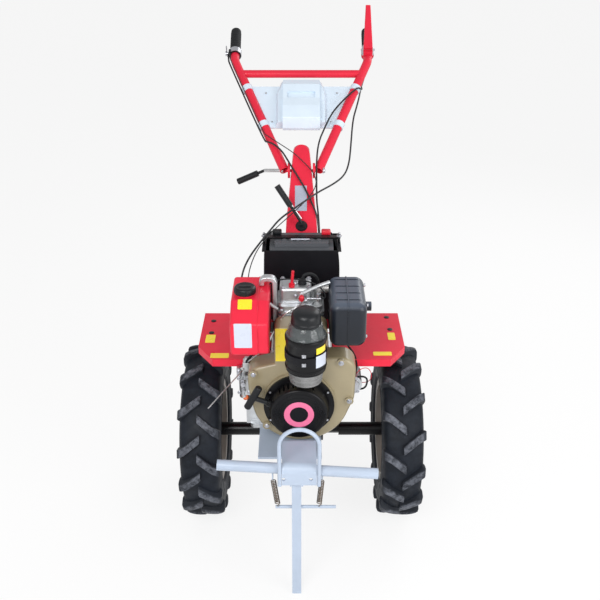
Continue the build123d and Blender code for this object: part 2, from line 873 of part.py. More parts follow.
with BuildPart() as air_cleaner_base:
    with BuildSketch(Plane(origin=(cleaner_x, axle_y + cleaner_y, 0), x_dir=(1, 0, 0), z_dir=(0, -1, 0))):
        with BuildLine():
            Polyline(
                (0, cleaner_base_z),
                (cleaner_base_r - 8, cleaner_base_z),
                (cleaner_base_r - 2, cleaner_base_z + 7),
                (cleaner_base_r, cleaner_body_z - 16),
                (cleaner_base_r + 4, cleaner_body_z - 12),
                (cleaner_base_r + 4, cleaner_body_z),
                (0, cleaner_body_z),
                close=True,
            )
        make_face()
    revolve(axis=Axis((cleaner_x, axle_y + cleaner_y, 0), (0, 0, 1)))
air_cleaner_base.part.label = "air_cleaner_base"
export_step(air_cleaner_base.part, "parts/air_cleaner_base.step")

cleaner_axis = Axis((cleaner_x, axle_y + cleaner_y, 0), (0, 0, 1))
cleaner_plane = Plane(origin=(cleaner_x, axle_y + cleaner_y, 0), x_dir=(1, 0, 0), z_dir=(0, -1, 0))
with BuildPart() as air_cleaner_body:
    with BuildSketch(cleaner_plane):
        with BuildLine():
            Polyline(
                (0, cleaner_body_z),
                (cleaner_body_r - 2, cleaner_body_z),
                (cleaner_body_r, cleaner_body_z + 3),
                (cleaner_body_r, cleaner_band_z),
                (cleaner_band_r, cleaner_band_z + 1),
                (cleaner_band_r, cleaner_band_z + cleaner_band_t - 1),
                (cleaner_body_r, cleaner_band_z + cleaner_band_t),
                (cleaner_body_r, cleaner_top_z),
                (0, cleaner_top_z),
                close=True,
            )
        make_face()
    revolve(axis=cleaner_axis)
air_cleaner_body.part.label = "air_cleaner_body"
export_step(air_cleaner_body.part, "parts/air_cleaner_body.step")

with BuildPart() as air_cleaner_bowl:
    with BuildSketch(cleaner_plane):
        with BuildLine():
            Polyline(
                (bowl_rim_r, cleaner_top_z),
                (bowl_rim_r, cleaner_top_z + bowl_rim_t),
                (bowl_rim_r - bowl_wall, cleaner_top_z + bowl_rim_t + bowl_wall),
                (bowl_top_r, bowl_top_z),
                (bowl_top_r - bowl_wall, bowl_top_z),
                (bowl_rim_r - bowl_wall * 2, cleaner_top_z + bowl_rim_t),
                (bowl_rim_r - bowl_wall * 2, cleaner_top_z),
                close=True,
            )
        make_face()
    revolve(axis=cleaner_axis)
air_cleaner_bowl.part.label = "air_cleaner_bowl"
export_step(air_cleaner_bowl.part, "parts/air_cleaner_bowl.step")

with BuildPart() as air_cleaner_cap:
    with BuildSketch(cleaner_plane):
        with BuildLine():
            Polyline(
                (0, cleaner_top_z),
                (cap_tube_r, cleaner_top_z),
                (cap_tube_r, cap_skirt_z + cap_lip),
                (cap_r - bowl_wall, cap_skirt_z + cap_lip),
                (cap_r - bowl_wall, cap_skirt_z),
                (cap_r, cap_skirt_z),
                (cap_r, cap_top_z - cap_lip),
                (0, cap_top_z),
                close=True,
            )
        make_face()
    revolve(axis=cleaner_axis)
    fillet(air_cleaner_cap.edges().filter_by(GeomType.CIRCLE).sort_by(Axis.Z)[-1], cap_edge_r)
air_cleaner_cap.part.label = "air_cleaner_cap"
export_step(air_cleaner_cap.part, "parts/air_cleaner_cap.step")

with BuildPart() as cylinder_barrel:
    with BuildSketch(level_plane(crankcase_top_z)):
        with Locations((crank_x, barrel_y)):
            Circle(barrel_r)
    extrude(amount=head_low_z - crankcase_top_z)
    for fin in range(fin_count):
        with BuildSketch(level_plane(crankcase_top_z + fin_pitch * (fin + 1) - fin_t)):
            with Locations((crank_x, (fin_front_y + fin_rear_y) / 2)):
                RectangleRounded(fin_half_x * 2, fin_rear_y - fin_front_y, case_corner_r)
        extrude(amount=fin_t)
cylinder_barrel.part.label = "cylinder_barrel"
export_step(cylinder_barrel.part, "parts/cylinder_barrel.step")

head_mid = ((head_low_x + head_high_x) / 2, (head_front_y + head_rear_y) / 2)
with BuildPart() as cylinder_head:
    with BuildSketch(level_plane(head_low_z)):
        with Locations(head_mid):
            RectangleRounded(
                head_high_x - head_low_x - head_fin_pitch,
                head_rear_y - head_front_y - head_fin_pitch,
                case_corner_r,
            )
    extrude(amount=head_top_z - head_low_z)
    for fin in range(head_fins):
        with BuildSketch(level_plane(head_low_z + head_fin_pitch * fin)):
            with Locations(head_mid):
                RectangleRounded(head_high_x - head_low_x, head_rear_y - head_front_y, case_corner_r)
        extrude(amount=head_fin_t)
    with BuildSketch(level_plane(head_top_z - rocker_flange_t)):
        with Locations(((rocker_low_x + rocker_high_x) / 2, (rocker_front_y + rocker_rear_y) / 2)):
            RectangleRounded(
                rocker_high_x - rocker_low_x + rocker_flange_out * 2,
                rocker_rear_y - rocker_front_y + rocker_flange_out * 2,
                rocker_r,
            )
    extrude(amount=rocker_flange_t)
cylinder_head.part.label = "cylinder_head"
export_step(cylinder_head.part, "parts/cylinder_head.step")

with BuildPart() as rocker_cover:
    with BuildSketch(level_plane(head_top_z)):
        with Locations(((rocker_low_x + rocker_high_x) / 2, (rocker_front_y + rocker_rear_y) / 2)):
            RectangleRounded(
                rocker_high_x - rocker_low_x + rocker_flange_out * 2,
                rocker_rear_y - rocker_front_y + rocker_flange_out * 2,
                rocker_r,
            )
    extrude(amount=rocker_flange_t)
    with BuildSketch(level_plane(head_top_z + rocker_flange_t)):
        with Locations(((rocker_low_x + rocker_high_x) / 2, (rocker_front_y + rocker_rear_y) / 2)):
            RectangleRounded(rocker_high_x - rocker_low_x, rocker_rear_y - rocker_front_y, rocker_r)
    extrude(amount=rocker_top_z - head_top_z - rocker_flange_t)
    fillet(rocker_cover.faces().sort_by(Axis.Z)[-1].edges(), rocker_r - 2)
rocker_cover.part.label = "rocker_cover"
export_step(rocker_cover.part, "parts/rocker_cover.step")

decomp_x = -30.0
decomp_y = -112.0
decomp_boss_r = 9.0
decomp_boss_h = 10.0
decomp_arm_r = 4.5
decomp_tip = (-26.0, -112.0, 950.0)
with BuildPart() as decompression_lever:
    with BuildSketch(level_plane(rocker_top_z)):
        with Locations((decomp_x, decomp_y)):
            Circle(decomp_boss_r)
    extrude(amount=decomp_boss_h)
    with BuildSketch(ring_plane((decomp_x, decomp_y, rocker_top_z + decomp_boss_h / 2), decomp_tip)):
        Circle(decomp_arm_r)
    extrude(amount=decomp_tip[2] - rocker_top_z - decomp_boss_h / 2)
decompression_lever.part.label = "decompression_lever"
export_step(decompression_lever.part, "parts/decompression_lever.step")

injector_x = 4.0
injector_y = -140.0
injector_r = 5.0
injector_top_z = 878.0
with BuildPart() as injector:
    with BuildSketch(level_plane(head_top_z)):
        with Locations((injector_x, injector_y)):
            Circle(injector_r)
    extrude(amount=injector_top_z - head_top_z)
    with BuildSketch(level_plane((head_top_z + injector_top_z) / 2)):
        with Locations((injector_x, injector_y)):
            RegularPolygon(injector_r * 1.4, 6)
    extrude(amount=injector_r)
injector.part.label = "injector"
export_step(injector.part, "parts/injector.step")

intake_bend_r = 24.0
with BuildPart() as intake_duct:
    with BuildLine(level_plane(0)) as intake_path:
        FilletPolyline(
            (intake_foot_x, intake_y, head_low_z),
            (intake_foot_x, intake_y, intake_top_z),
            (intake_out_x, intake_y, intake_top_z),
            (intake_out_x, intake_y, intake_out_z),
            radius=intake_bend_r * 0.6,
        )
    with BuildSketch(Plane(origin=intake_path.line @ 0, x_dir=(0, 1, 0), z_dir=intake_path.line % 0)):
        RectangleRounded(intake_w, intake_h, intake_h / 4)
    sweep()
intake_duct.part.label = "intake_duct"
export_step(intake_duct.part, "parts/intake_duct.step")

with BuildPart() as exhaust_pipe:
    with BuildLine(level_plane(0)) as exhaust_path:
        FilletPolyline(
            (rocker_high_x + rocker_flange_out + exhaust_r, exhaust_y, head_top_z + seat_gap),
            (rocker_high_x + rocker_flange_out + exhaust_r, exhaust_y, head_top_z + 34),
            (muffler_low_x - seat_gap, exhaust_y, head_top_z + 34),
            radius=exhaust_r + 2,
        )
    with BuildSketch(Plane(origin=exhaust_path.line @ 0, z_dir=exhaust_path.line % 0)):
        Circle(exhaust_r)
        Circle(exhaust_r - exhaust_wall, mode=Mode.SUBTRACT)
    sweep()
exhaust_pipe.part.label = "exhaust_pipe"
export_step(exhaust_pipe.part, "parts/exhaust_pipe.step")

muffler_mid_x = (muffler_low_x + muffler_high_x) / 2
muffler_mid_z = (muffler_low_z + muffler_high_z) / 2
with BuildPart() as muffler:
    with BuildSketch(front_plane(muffler_rear_y)):
        with Locations((muffler_mid_x, muffler_mid_z)):
            RectangleRounded(
                muffler_high_x - muffler_low_x, muffler_high_z - muffler_low_z, muffler_r
            )
    extrude(amount=muffler_rear_y - muffler_front_y)
    fillet(muffler.faces().sort_by(Axis.Y)[0].edges(), muffler_r * muffler_end_share)
    fillet(muffler.faces().sort_by(Axis.Y)[-1].edges(), muffler_r * muffler_end_share)
    with BuildSketch(level_plane(muffler_high_z - muffler_rib_depth)):
        with Locations((muffler_mid_x, (muffler_front_y + muffler_rear_y) / 2)):
            with GridLocations(1, muffler_rib_pitch, 1, muffler_ribs):
                Rectangle(muffler_high_x - muffler_low_x, muffler_rib_w)
    extrude(amount=muffler_rib_depth, mode=Mode.SUBTRACT)
    with BuildSketch(side_plane(muffler_seam_x - muffler_seam_t / 2)):
        with Locations(((muffler_front_y + muffler_rear_y) / 2, muffler_mid_z)):
            RectangleRounded(
                muffler_rear_y - muffler_front_y + muffler_seam_out * 2,
                muffler_high_z - muffler_low_z + muffler_seam_out * 2,
                muffler_r,
            )
    extrude(amount=muffler_seam_t)
    with BuildSketch(side_plane(muffler_high_x)):
        with Locations((outlet_y, outlet_z)):
            Circle(outlet_r)
    extrude(amount=outlet_x - muffler_high_x)
    with BuildSketch(side_plane(muffler_low_x + muffler_wall)):
        with Locations(((muffler_front_y + muffler_rear_y) / 2, muffler_mid_z)):
            Rectangle(
                muffler_rear_y - muffler_front_y - muffler_r,
                muffler_high_z - muffler_low_z - muffler_r,
            )
    extrude(amount=muffler_high_x - muffler_low_x - muffler_wall * 2, mode=Mode.SUBTRACT)
    with BuildSketch(side_plane(muffler_mid_x)):
        with Locations((outlet_y, outlet_z)):
            Circle(outlet_r - outlet_wall)
    extrude(amount=outlet_x - muffler_mid_x, mode=Mode.SUBTRACT)
muffler.part.label = "muffler"
export_step(muffler.part, "parts/muffler.step")

with BuildPart() as fuel_tank:
    for half_low_x, half_high_x, step in (
        (tank_low_x, tank_step_x, 0.0),
        (tank_step_x, tank_high_x, tank_step),
    ):
        with BuildSketch(side_plane(half_low_x)) as tank_outline:
            with BuildLine():
                Polyline(
                    (tank_front_y + step, tank_low_z + step),
                    (tank_front_y + step, tank_brow_z - step / 2),
                    (tank_flat_y, tank_top_z - step),
                    (tank_rear_y - step, tank_top_z - step),
                    (tank_rear_y - step, tank_low_z + step),
                    close=True,
                )
            make_face()
            fillet(tank_outline.vertices(), tank_edge_r)
        extrude(amount=half_high_x - half_low_x)
    fillet(fuel_tank.faces().sort_by(Axis.X)[0].edges(), tank_edge_r * tank_outer_share)
    fillet(fuel_tank.faces().sort_by(Axis.X)[-1].edges(), tank_edge_r * tank_inner_share)
    with BuildSketch(level_plane(tank_top_z)):
        with Locations((tank_cap_x, tank_cap_y)):
            Circle(tank_neck_r)
    extrude(amount=tank_neck_h)
    with BuildSketch(side_plane(tank_low_x + tank_wall)):
        with BuildLine():
            Polyline(
                (tank_front_y + tank_wall + tank_step, tank_low_z + tank_wall + tank_step),
                (tank_front_y + tank_wall + tank_step, tank_brow_z - tank_wall),
                (tank_flat_y, tank_top_z - tank_wall - tank_step),
                (tank_rear_y - tank_wall - tank_step, tank_top_z - tank_wall - tank_step),
                (tank_rear_y - tank_wall - tank_step, tank_low_z + tank_wall + tank_step),
                close=True,
            )
        make_face()
    extrude(amount=tank_high_x - tank_low_x - tank_wall * 2, mode=Mode.SUBTRACT)
    with BuildSketch(level_plane(tank_top_z + tank_neck_h)):
        with Locations((tank_cap_x, tank_cap_y)):
            Circle(tank_neck_bore_r)
    extrude(amount=-tank_neck_h - tank_wall * 3, mode=Mode.SUBTRACT)
fuel_tank.part.label = "fuel_tank"
export_step(fuel_tank.part, "parts/fuel_tank.step")

with BuildPart() as tank_cap:
    with BuildSketch(level_plane(tank_top_z + tank_neck_h)):
        with Locations((tank_cap_x, tank_cap_y)):
            Circle(tank_cap_r)
    extrude(amount=tank_cap_h)
    fillet(tank_cap.edges().sort_by(Axis.Z)[-1], 4)
tank_cap.part.label = "tank_cap"
export_step(tank_cap.part, "parts/tank_cap.step")

with BuildPart() as starter_motor:
    with BuildSketch(front_plane(starter_rear_y)):
        with Locations((starter_x, starter_z)):
            Circle(starter_r)
    extrude(amount=starter_rear_y - starter_front_y - 16)
    with BuildSketch(front_plane(starter_rear_y)):
        with Locations((starter_x, starter_z)):
            Circle(starter_nose_r)
    extrude(amount=starter_rear_y - starter_front_y)
    with BuildSketch(front_plane(starter_rear_y)):
        with Locations((starter_x - 12, starter_z + starter_r + solenoid_r - 6)):
            Circle(solenoid_r)
    extrude(amount=82)
    with BuildSketch(front_plane(starter_rear_y)):
        with Locations(((starter_x + crankcase_half_x) / 2, starter_z)):
            Rectangle(starter_x - crankcase_half_x, starter_r * 1.4)
    extrude(amount=14)
starter_motor.part.label = "starter_motor"
export_step(starter_motor.part, "parts/starter_motor.step")

with BuildPart() as fuel_pump:
    with BuildSketch(level_plane(pump_low_z)):
        with Locations(((pump_x - crankcase_half_x) / 2, pump_y)):
            RectangleRounded(-pump_x - crankcase_half_x, pump_block_w, pump_edge_r)
    extrude(amount=pump_block_h)
    with BuildSketch(level_plane(pump_low_z - pump_drop)):
        with Locations((pump_x, pump_y)):
            Circle(pump_r)
    extrude(amount=pump_block_h + pump_drop * 2)
fuel_pump.part.label = "fuel_pump"
export_step(fuel_pump.part, "parts/fuel_pump.step")

dip_x = -148.0
dip_y = -100.0
dip_neck_r = 10.0
dip_neck_h = 14.0
dip_cap_r = 14.0
dip_cap_h = 12.0
with BuildPart() as dipstick:
    with BuildSketch(level_plane(sump_top_z)):
        with Locations((dip_x, dip_y)):
            Circle(dip_neck_r)
    extrude(amount=dip_neck_h)
    with BuildSketch(level_plane(sump_top_z + dip_neck_h)):
        with Locations((dip_x, dip_y)):
            Circle(dip_cap_r)
    extrude(amount=dip_cap_h)
dipstick.part.label = "dipstick"
export_step(dipstick.part, "parts/dipstick.step")

# --- engine bed, bumper, hoop, apron ------------------------------------------------------------
with BuildPart() as engine_bed:
    with BuildSketch(level_plane(base_z - bed_t)):
        with Locations(((bed_low_x + bed_high_x) / 2, (bed_front_y + bed_rear_y) / 2)):
            Rectangle(bed_high_x - bed_low_x, bed_rear_y - bed_front_y)
    extrude(amount=bed_t)
    for rail_side in (-1, 1):
        with BuildSketch(level_plane(rail_low_z)):
            with Locations((rail_side * (rail_in_x + rail_t / 2), (rail_front_y + rail_rear_y) / 2)):
                Rectangle(rail_t, rail_rear_y - rail_front_y)
        extrude(amount=base_z - bed_t - rail_low_z)
engine_bed.part.label = "engine_bed"
export_step(engine_bed.part, "parts/engine_bed.step")

bumper_axis = (cos(radians(bumper_tilt)), 0, -sin(radians(bumper_tilt)))
bumper_start = (
    bumper_x - bumper_length / 2 * bumper_axis[0],
    axle_y + bumper_y,
    bumper_z - bumper_length / 2 * bumper_axis[2],
)
with BuildPart() as bumper_tube:
    with BuildSketch(Plane(origin=bumper_start, z_dir=bumper_axis)):
        Circle(bumper_r)
        Circle(bumper_r - bumper_wall, mode=Mode.SUBTRACT)
    extrude(amount=bumper_length)
    for spring_top_x, spring_low_x in springs:
        tab_top_z = bumper_z - (spring_top_x - bumper_x) * tan(radians(bumper_tilt)) - bumper_r + 1.5
        with BuildSketch(side_plane(spring_top_x - spring_tab_t / 2)):
            with Locations((bumper_y, (tab_top_z + spring_tab_low_z) / 2)):
                Rectangle(spring_tab_half * 2, tab_top_z - spring_tab_low_z)
            with Locations((bumper_y, spring_tab_low_z)):
                Circle(spring_tab_half)
            with Locations((bumper_y, spring_tab_low_z)):
                Circle(spring_wire_r * 3, mode=Mode.SUBTRACT)
        extrude(amount=spring_tab_t)
bumper_tube.part.label = "bumper_tube"
export_step(bumper_tube.part, "parts/bumper_tube.step")

with BuildPart() as guard_hoop:
    with BuildLine(level_plane(0)) as hoop_path:
        Line((hoop_x - hoop_r, hoop_y, hoop_low_z), (hoop_x - hoop_r, hoop_y, hoop_top_z - hoop_r))
        ThreePointArc(
            (hoop_x - hoop_r, hoop_y, hoop_top_z - hoop_r),
            (hoop_x, hoop_y, hoop_top_z),
            (hoop_x + hoop_r, hoop_y, hoop_top_z - hoop_r),
        )
        Line((hoop_x + hoop_r, hoop_y, hoop_top_z - hoop_r), (hoop_x + hoop_r, hoop_y, hoop_low_z))
    with BuildSketch(Plane(origin=hoop_path.line @ 0, z_dir=hoop_path.line % 0)):
        Circle(hoop_bar_r)
    sweep()
guard_hoop.part.label = "guard_hoop"
export_step(guard_hoop.part, "parts/guard_hoop.step")

with BuildPart() as front_apron:
    with BuildSketch(side_plane(apron_low_x)):
        with BuildLine():
            FilletPolyline(
                (apron_rear_y, apron_foot_z),
                (apron_rear_y, apron_top_z),
                (apron_front_y, apron_top_z),
                (apron_front_y, apron_low_z),
                radius=apron_bend_r - 0.01,
            )
        trace(line_width=plate)
    extrude(amount=apron_high_x - apron_low_x)
    for ear_low_x in (stand_x - stand_side / 2 - ear_gap - ear_t, stand_x + stand_side / 2 + ear_gap):
        with BuildSketch(side_plane(ear_low_x)):
            with BuildLine():
                Polyline(
                    (apron_front_y, hinge_z - ear_r),
                    (hinge_y, hinge_z - ear_r),
                    (hinge_y, hinge_z + ear_r),
                    (apron_front_y, hinge_z + ear_r),
                    close=True,
                )
            make_face()
            with Locations((hinge_y, hinge_z)):
                Circle(ear_r)
        extrude(amount=ear_t)
    pin_half = stand_side / 2 + ear_gap + ear_t
    with BuildSketch(side_plane(stand_x - pin_half)):
        with Locations((hinge_y, hinge_z)):
            Circle(pin_r)
    extrude(amount=pin_half * 2)
    with BuildSketch(side_plane(stand_x - pin_half - pin_head_t), side_plane(stand_x + pin_half)):
        with Locations((hinge_y, hinge_z)):
            Circle(pin_head_r)
    extrude(amount=pin_head_t)
    with BuildSketch(front_plane(apron_front_y + plate)):
        with Locations((apron_bolt_x, apron_bolt_z)):
            with GridLocations(apron_bolt_spacing, 1, 2, 1):
                Circle(apron_bolt_r)
    extrude(amount=plate * 2, mode=Mode.SUBTRACT)
front_apron.part.label = "front_apron"
export_step(front_apron.part, "parts/front_apron.step")

# --- drop stand ---------------------------------------------------------------------------------
lean = atan2(hinge_y - foot_y, hinge_z)
leg_cut = stand_side / 2 / cos(lean)
with BuildPart() as stand_leg:
    with BuildSketch(side_plane(stand_x - stand_side / 2)):
        with BuildLine():
            Polyline(
                (hinge_y - leg_cut, hinge_z),
                (hinge_y + leg_cut, hinge_z),
                (foot_y + leg_cut, 0),
                (foot_y - leg_cut, 0),
                close=True,
            )
        make_face()
        with Locations((hinge_y, hinge_z)):
            Circle(stand_side / 2)
    extrude(amount=stand_side)
    with BuildSketch(side_plane(stand_x - stand_side / 2)):
        with Locations((hinge_y, hinge_z)):
            Circle(stand_bore_r)
    extrude(amount=stand_side, mode=Mode.SUBTRACT)
    with BuildSketch(side_plane(rod_low_x)):
        with Locations((hinge_y - (hinge_z - rod_z) * tan(lean), rod_z)):
            Circle(rod_r)
    extrude(amount=rod_high_x - rod_low_x)
stand_leg.part.label = "stand_leg"
export_step(stand_leg.part, "parts/stand_leg.step")

rod_y = hinge_y - (hinge_z - rod_z) * tan(lean)
with BuildPart() as stand_springs:
    for spring_top_x, spring_low_x in springs:
        spring_top = (spring_top_x, bumper_y, spring_tab_low_z)
        spring_end = (spring_low_x, rod_y, rod_z)
        spring_plane = ring_plane(spring_top, spring_end)
        spring_span = (Vector(*spring_end) - Vector(*spring_top)).length
        coil_start = spring_hook_r * 2 - spring_wire_r
        coil_pitch = (spring_span - coil_start - spring_hook_r) / spring_turns
        with BuildSketch(
            Plane(origin=spring_plane.origin, x_dir=spring_plane.x_dir, z_dir=-spring_plane.y_dir)
        ):
            with BuildLine():
                Polyline(
                    (0, coil_start),
                    *[
                        (spring_r - (turn % 2) * spring_wire_r, coil_start + coil_pitch / 2 * turn)
                        for turn in range(spring_turns * 2 + 1)
                    ],
                    (0, spring_span - spring_hook_r),
                    close=True,
                )
            make_face()
        revolve(axis=Axis(spring_plane.origin, spring_plane.z_dir))
        hook_top = Vector(spring_top_x, axle_y + bumper_y, spring_tab_low_z - spring_hook_r)
        hook_low = Vector(spring_low_x, axle_y + rod_y, rod_z)
        for hook_at, hook_axis in ((hook_top, Vector(0, 1, 0)), (hook_low, Vector(1, 0, 0))):
            with BuildSketch(Plane(origin=hook_at - hook_axis * spring_wire_r, z_dir=hook_axis)):
                Circle(spring_hook_r + spring_wire_r)
                Circle(spring_hook_r - spring_wire_r, mode=Mode.SUBTRACT)
            extrude(amount=spring_wire_r * 2)
stand_springs.part.label = "stand_springs"
export_step(stand_springs.part, "parts/stand_springs.step")

# --- fenders ------------------------------------------------------------------------------------
for side, sign in (("left", 1), ("right", -1)):
    with BuildPart() as fender:
        with BuildSketch(level_plane(fender_z)):
            with BuildLine():
                Polyline(
                    (sign * fender_in_x, fender_front_y),
                    (sign * (fender_out_x - fender_cut_x), fender_front_y),
                    (sign * fender_out_x, fender_front_y + fender_cut_y),
                    (sign * fender_out_x, fender_rear_y),
                    (sign * fender_in_x, fender_rear_y),
                    close=True,
                )
            make_face()
            with Locations(
                (sign * (fender_in_x + fender_hole_in), fender_rear_y - fender_hole_in),
                (sign * (fender_out_x - fender_cut_x), fender_front_y + fender_cut_y / 2),
            ):
                Circle(fender_hole_r, mode=Mode.SUBTRACT)
        extrude(amount=-sheet)
        with BuildSketch(level_plane(fender_z - sheet)):
            with BuildLine():
                Polyline(
                    (sign * fender_in_x, fender_front_y),
                    (sign * (fender_out_x - fender_cut_x), fender_front_y),
                    (sign * fender_out_x, fender_front_y + fender_cut_y),
                    (sign * fender_out_x, fender_rear_y),
                    (sign * (fender_out_x - sheet), fender_rear_y),
                    (sign * (fender_out_x - sheet), fender_front_y + fender_cut_y + 1),
                    (sign * (fender_out_x - fender_cut_x - 1), fender_front_y + sheet),
                    (sign * fender_in_x, fender_front_y + sheet),
                    close=True,
                )
            make_face()
        extrude(amount=-fender_lip)
    fender.part.label = f"fender_{side}"
    export_step(fender.part, f"parts/fender_{side}.step")

bracket_top_z = fender_z - sheet
with BuildPart() as fender_bracket:
    for bracket_front_y, bracket_rear_y in fender_brackets:
        with BuildSketch(front_plane(bracket_rear_y)):
            with BuildLine():
                Polyline(
                    (-fender_out_x + fender_cut_x, bracket_top_z),
                    (fender_out_x - fender_cut_x, bracket_top_z),
                    (fender_out_x - fender_cut_x, bracket_top_z - plate),
                    (case_half_x + seat_gap, bracket_top_z - fender_lip * 2),
                    (case_half_x + seat_gap, case_top_z),
                    (-case_half_x - seat_gap, case_top_z),
                    (-case_half_x - seat_gap, bracket_top_z - fender_lip * 2),
                    (-fender_out_x + fender_cut_x, bracket_top_z - plate),
                    close=True,
                )
            make_face()
        extrude(amount=bracket_rear_y - bracket_front_y)
    for sign in (-1, 1):
        strut_top = (sign * strut_top_x, strut_top_y, fender_z - seat_gap - strut_t)
        strut_foot = (sign * (case_half_x + seat_gap + strut_t), strut_foot_y, strut_foot_z)
        strut_plane = ring_plane(strut_foot, strut_top)
        with BuildSketch(Plane(origin=strut_plane.origin, x_dir=(0, 1, 0), z_dir=strut_plane.z_dir)):
            Rectangle(strut_w, strut_t)
        extrude(amount=(Vector(*strut_top) - Vector(*strut_foot)).length)
fender_bracket.part.label = "fender_bracket"
export_step(fender_bracket.part, "parts/fender_bracket.step")

# --- battery box and battery --------------------------------------------------------------------
box_mid_y = (box_front_y + box_rear_y) / 2
box_deep = box_rear_y - box_front_y
with BuildPart() as battery_box:
    with BuildSketch(level_plane(box_low_z)):
        with Locations((0, box_mid_y)):
            Rectangle(box_half_x * 2, box_deep)
    extrude(amount=box_high_z - box_low_z)
    with BuildSketch(level_plane(box_high_z - box_wall)):
        with Locations((0, box_mid_y)):
            Rectangle((box_half_x + box_flange) * 2, box_deep)
    extrude(amount=box_wall)
    with BuildSketch(level_plane(box_low_z + box_wall)):
        with Locations((0, box_mid_y)):
            Rectangle((box_half_x - box_wall) * 2, box_deep - box_wall * 2)
    extrude(amount=box_high_z - box_low_z, mode=Mode.SUBTRACT)
    with BuildSketch(level_plane(case_top_z)):
        with Locations((0, box_leg_y)):
            Rectangle(case_half_x * 2, box_leg_deep)
            Rectangle(case_half_x * 2 - plate * 2, box_deep, mode=Mode.SUBTRACT)
    extrude(amount=box_low_z - case_top_z)
battery_box.part.label = "battery_box"
export_step(battery_box.part, "parts/battery_box.step")

battery_mid_y = (battery_front_y + battery_rear_y) / 2
with BuildPart() as battery:
    with BuildSketch(level_plane(battery_low_z)):
        with Locations((0, battery_mid_y)):
            RectangleRounded(battery_half_x * 2, battery_rear_y - battery_front_y, battery_edge_r)
    extrude(amount=battery_high_z - battery_low_z)
    with BuildSketch(level_plane(battery_high_z)):
        with Locations((0, battery_mid_y)):
            RectangleRounded(
                battery_half_x * 2 - battery_lid_in_x,
                battery_rear_y - battery_front_y - battery_lid_in_y,
                battery_edge_r,
            )
    extrude(amount=battery_lid_h)
    with BuildSketch(level_plane(battery_high_z)):
        with Locations((0, battery_mid_y + terminal_back)):
            with GridLocations(battery_half_x * 2 - terminal_in * 2, 1, 2, 1):
                Circle(terminal_r)
    extrude(amount=terminal_h)
battery.part.label = "battery"
export_step(battery.part, "parts/battery.step")

clamp_w = 20.0
clamp_t = 6.0
clamp_rod_share = 2.6      # clamp rods end this many bar thicknesses above the lid
clamp_half_x = box_half_x + box_flange
clamp_rod_r = 3.5
with BuildPart() as battery_clamp:
    with BuildSketch(level_plane(battery_high_z + battery_lid_h)):
        with Locations((0, battery_mid_y)):
            SlotOverall(clamp_half_x * 2, clamp_w)
    extrude(amount=clamp_t)
    with BuildSketch(level_plane(box_high_z)):
        with Locations((0, battery_mid_y)):
            with GridLocations((box_half_x + box_flange / 2) * 2, 1, 2, 1):
                Circle(clamp_rod_r)
    extrude(amount=battery_high_z + battery_lid_h + clamp_t * clamp_rod_share - box_high_z)
battery_clamp.part.label = "battery_clamp"
export_step(battery_clamp.part, "parts/battery_clamp.step")

# --- handle column ------------------------------------------------------------------------------
column_run = hypot(column_top_y - column_front_y, column_top_z - column_knee_z)
column_cos = (column_top_y - column_front_y) / column_run
column_sin = (column_top_z - column_knee_z) / column_run
with BuildPart() as handle_column:
    with BuildSketch(side_plane(-column_low_half)):
        with BuildLine():
            Polyline(
                (column_front_y, column_low_z),
                (column_front_y, column_knee_z),
                (column_top_y, column_top_z),
                (column_top_y + column_deep * column_sin, column_top_z - column_deep * column_cos),
                (column_front_y + column_deep, column_knee_z - column_deep * column_bend_share),
                (column_front_y + column_deep, column_low_z),
                close=True,
            )
        make_face()
    extrude(amount=column_low_half * 2)
    with BuildSketch(front_plane(column_top_y + column_deep)):
        with BuildLine():
            Polyline(
                (-column_low_half, column_low_z),
                (-column_mid_half, column_knee_z),
                (-column_top_half, column_top_z - column_top_half),
                (column_top_half, column_top_z - column_top_half),
                (column_mid_half, column_knee_z),
                (column_low_half, column_low_z),
                close=True,
            )
        make_face()
        with Locations((0, column_top_z - column_top_half)):
            Circle(column_top_half)
    extrude(amount=column_top_y + column_deep, mode=Mode.INTERSECT)
    offset(amount=-sheet, openings=handle_column.faces().sort_by(Axis.Z)[0])
    with BuildSketch(side_plane(-column_low_half)):
        with Locations((pivot_y, pivot_z)):
            Circle(stand_bore_r)
    extrude(amount=column_low_half * 2, mode=Mode.SUBTRACT)
handle_column.part.label = "handle_column"
export_step(handle_column.part, "parts/handle_column.step")

# --- handlebar ----------------------------------------------------------------------------------
bar_slope = atan2(bar_bend_z - pivot_z, bar_bend_y - pivot_y)
bar_plane = Plane(
    origin=(0, axle_y + pivot_y, pivot_z),
    x_dir=(1, 0, 0),
    z_dir=(0, -sin(bar_slope), cos(bar_slope)),
)
bracket_in_x = 39.0
bracket_t = 8.0
bracket_r = 26.0
pivot_pin_half = bracket_in_x + bracket_t + 4
bar_run = hypot(bar_bend_y - pivot_y, bar_bend_z - pivot_z)
bar_angle = atan2(bar_bend_x - bar_low_x, bar_run)


def bar_half_width(along):
    """Distance of the tube's middle from the middle of the machine, along up the handlebar."""
    return bar_low_x + along * tan(bar_angle)


def bar_direction(sign):
    """Direction of one tube's straight run up the handlebar; sign is the side of the machine."""
    return bar_plane.from_local_coords((sign * sin(bar_angle), cos(bar_angle), 0)) - bar_plane.origin


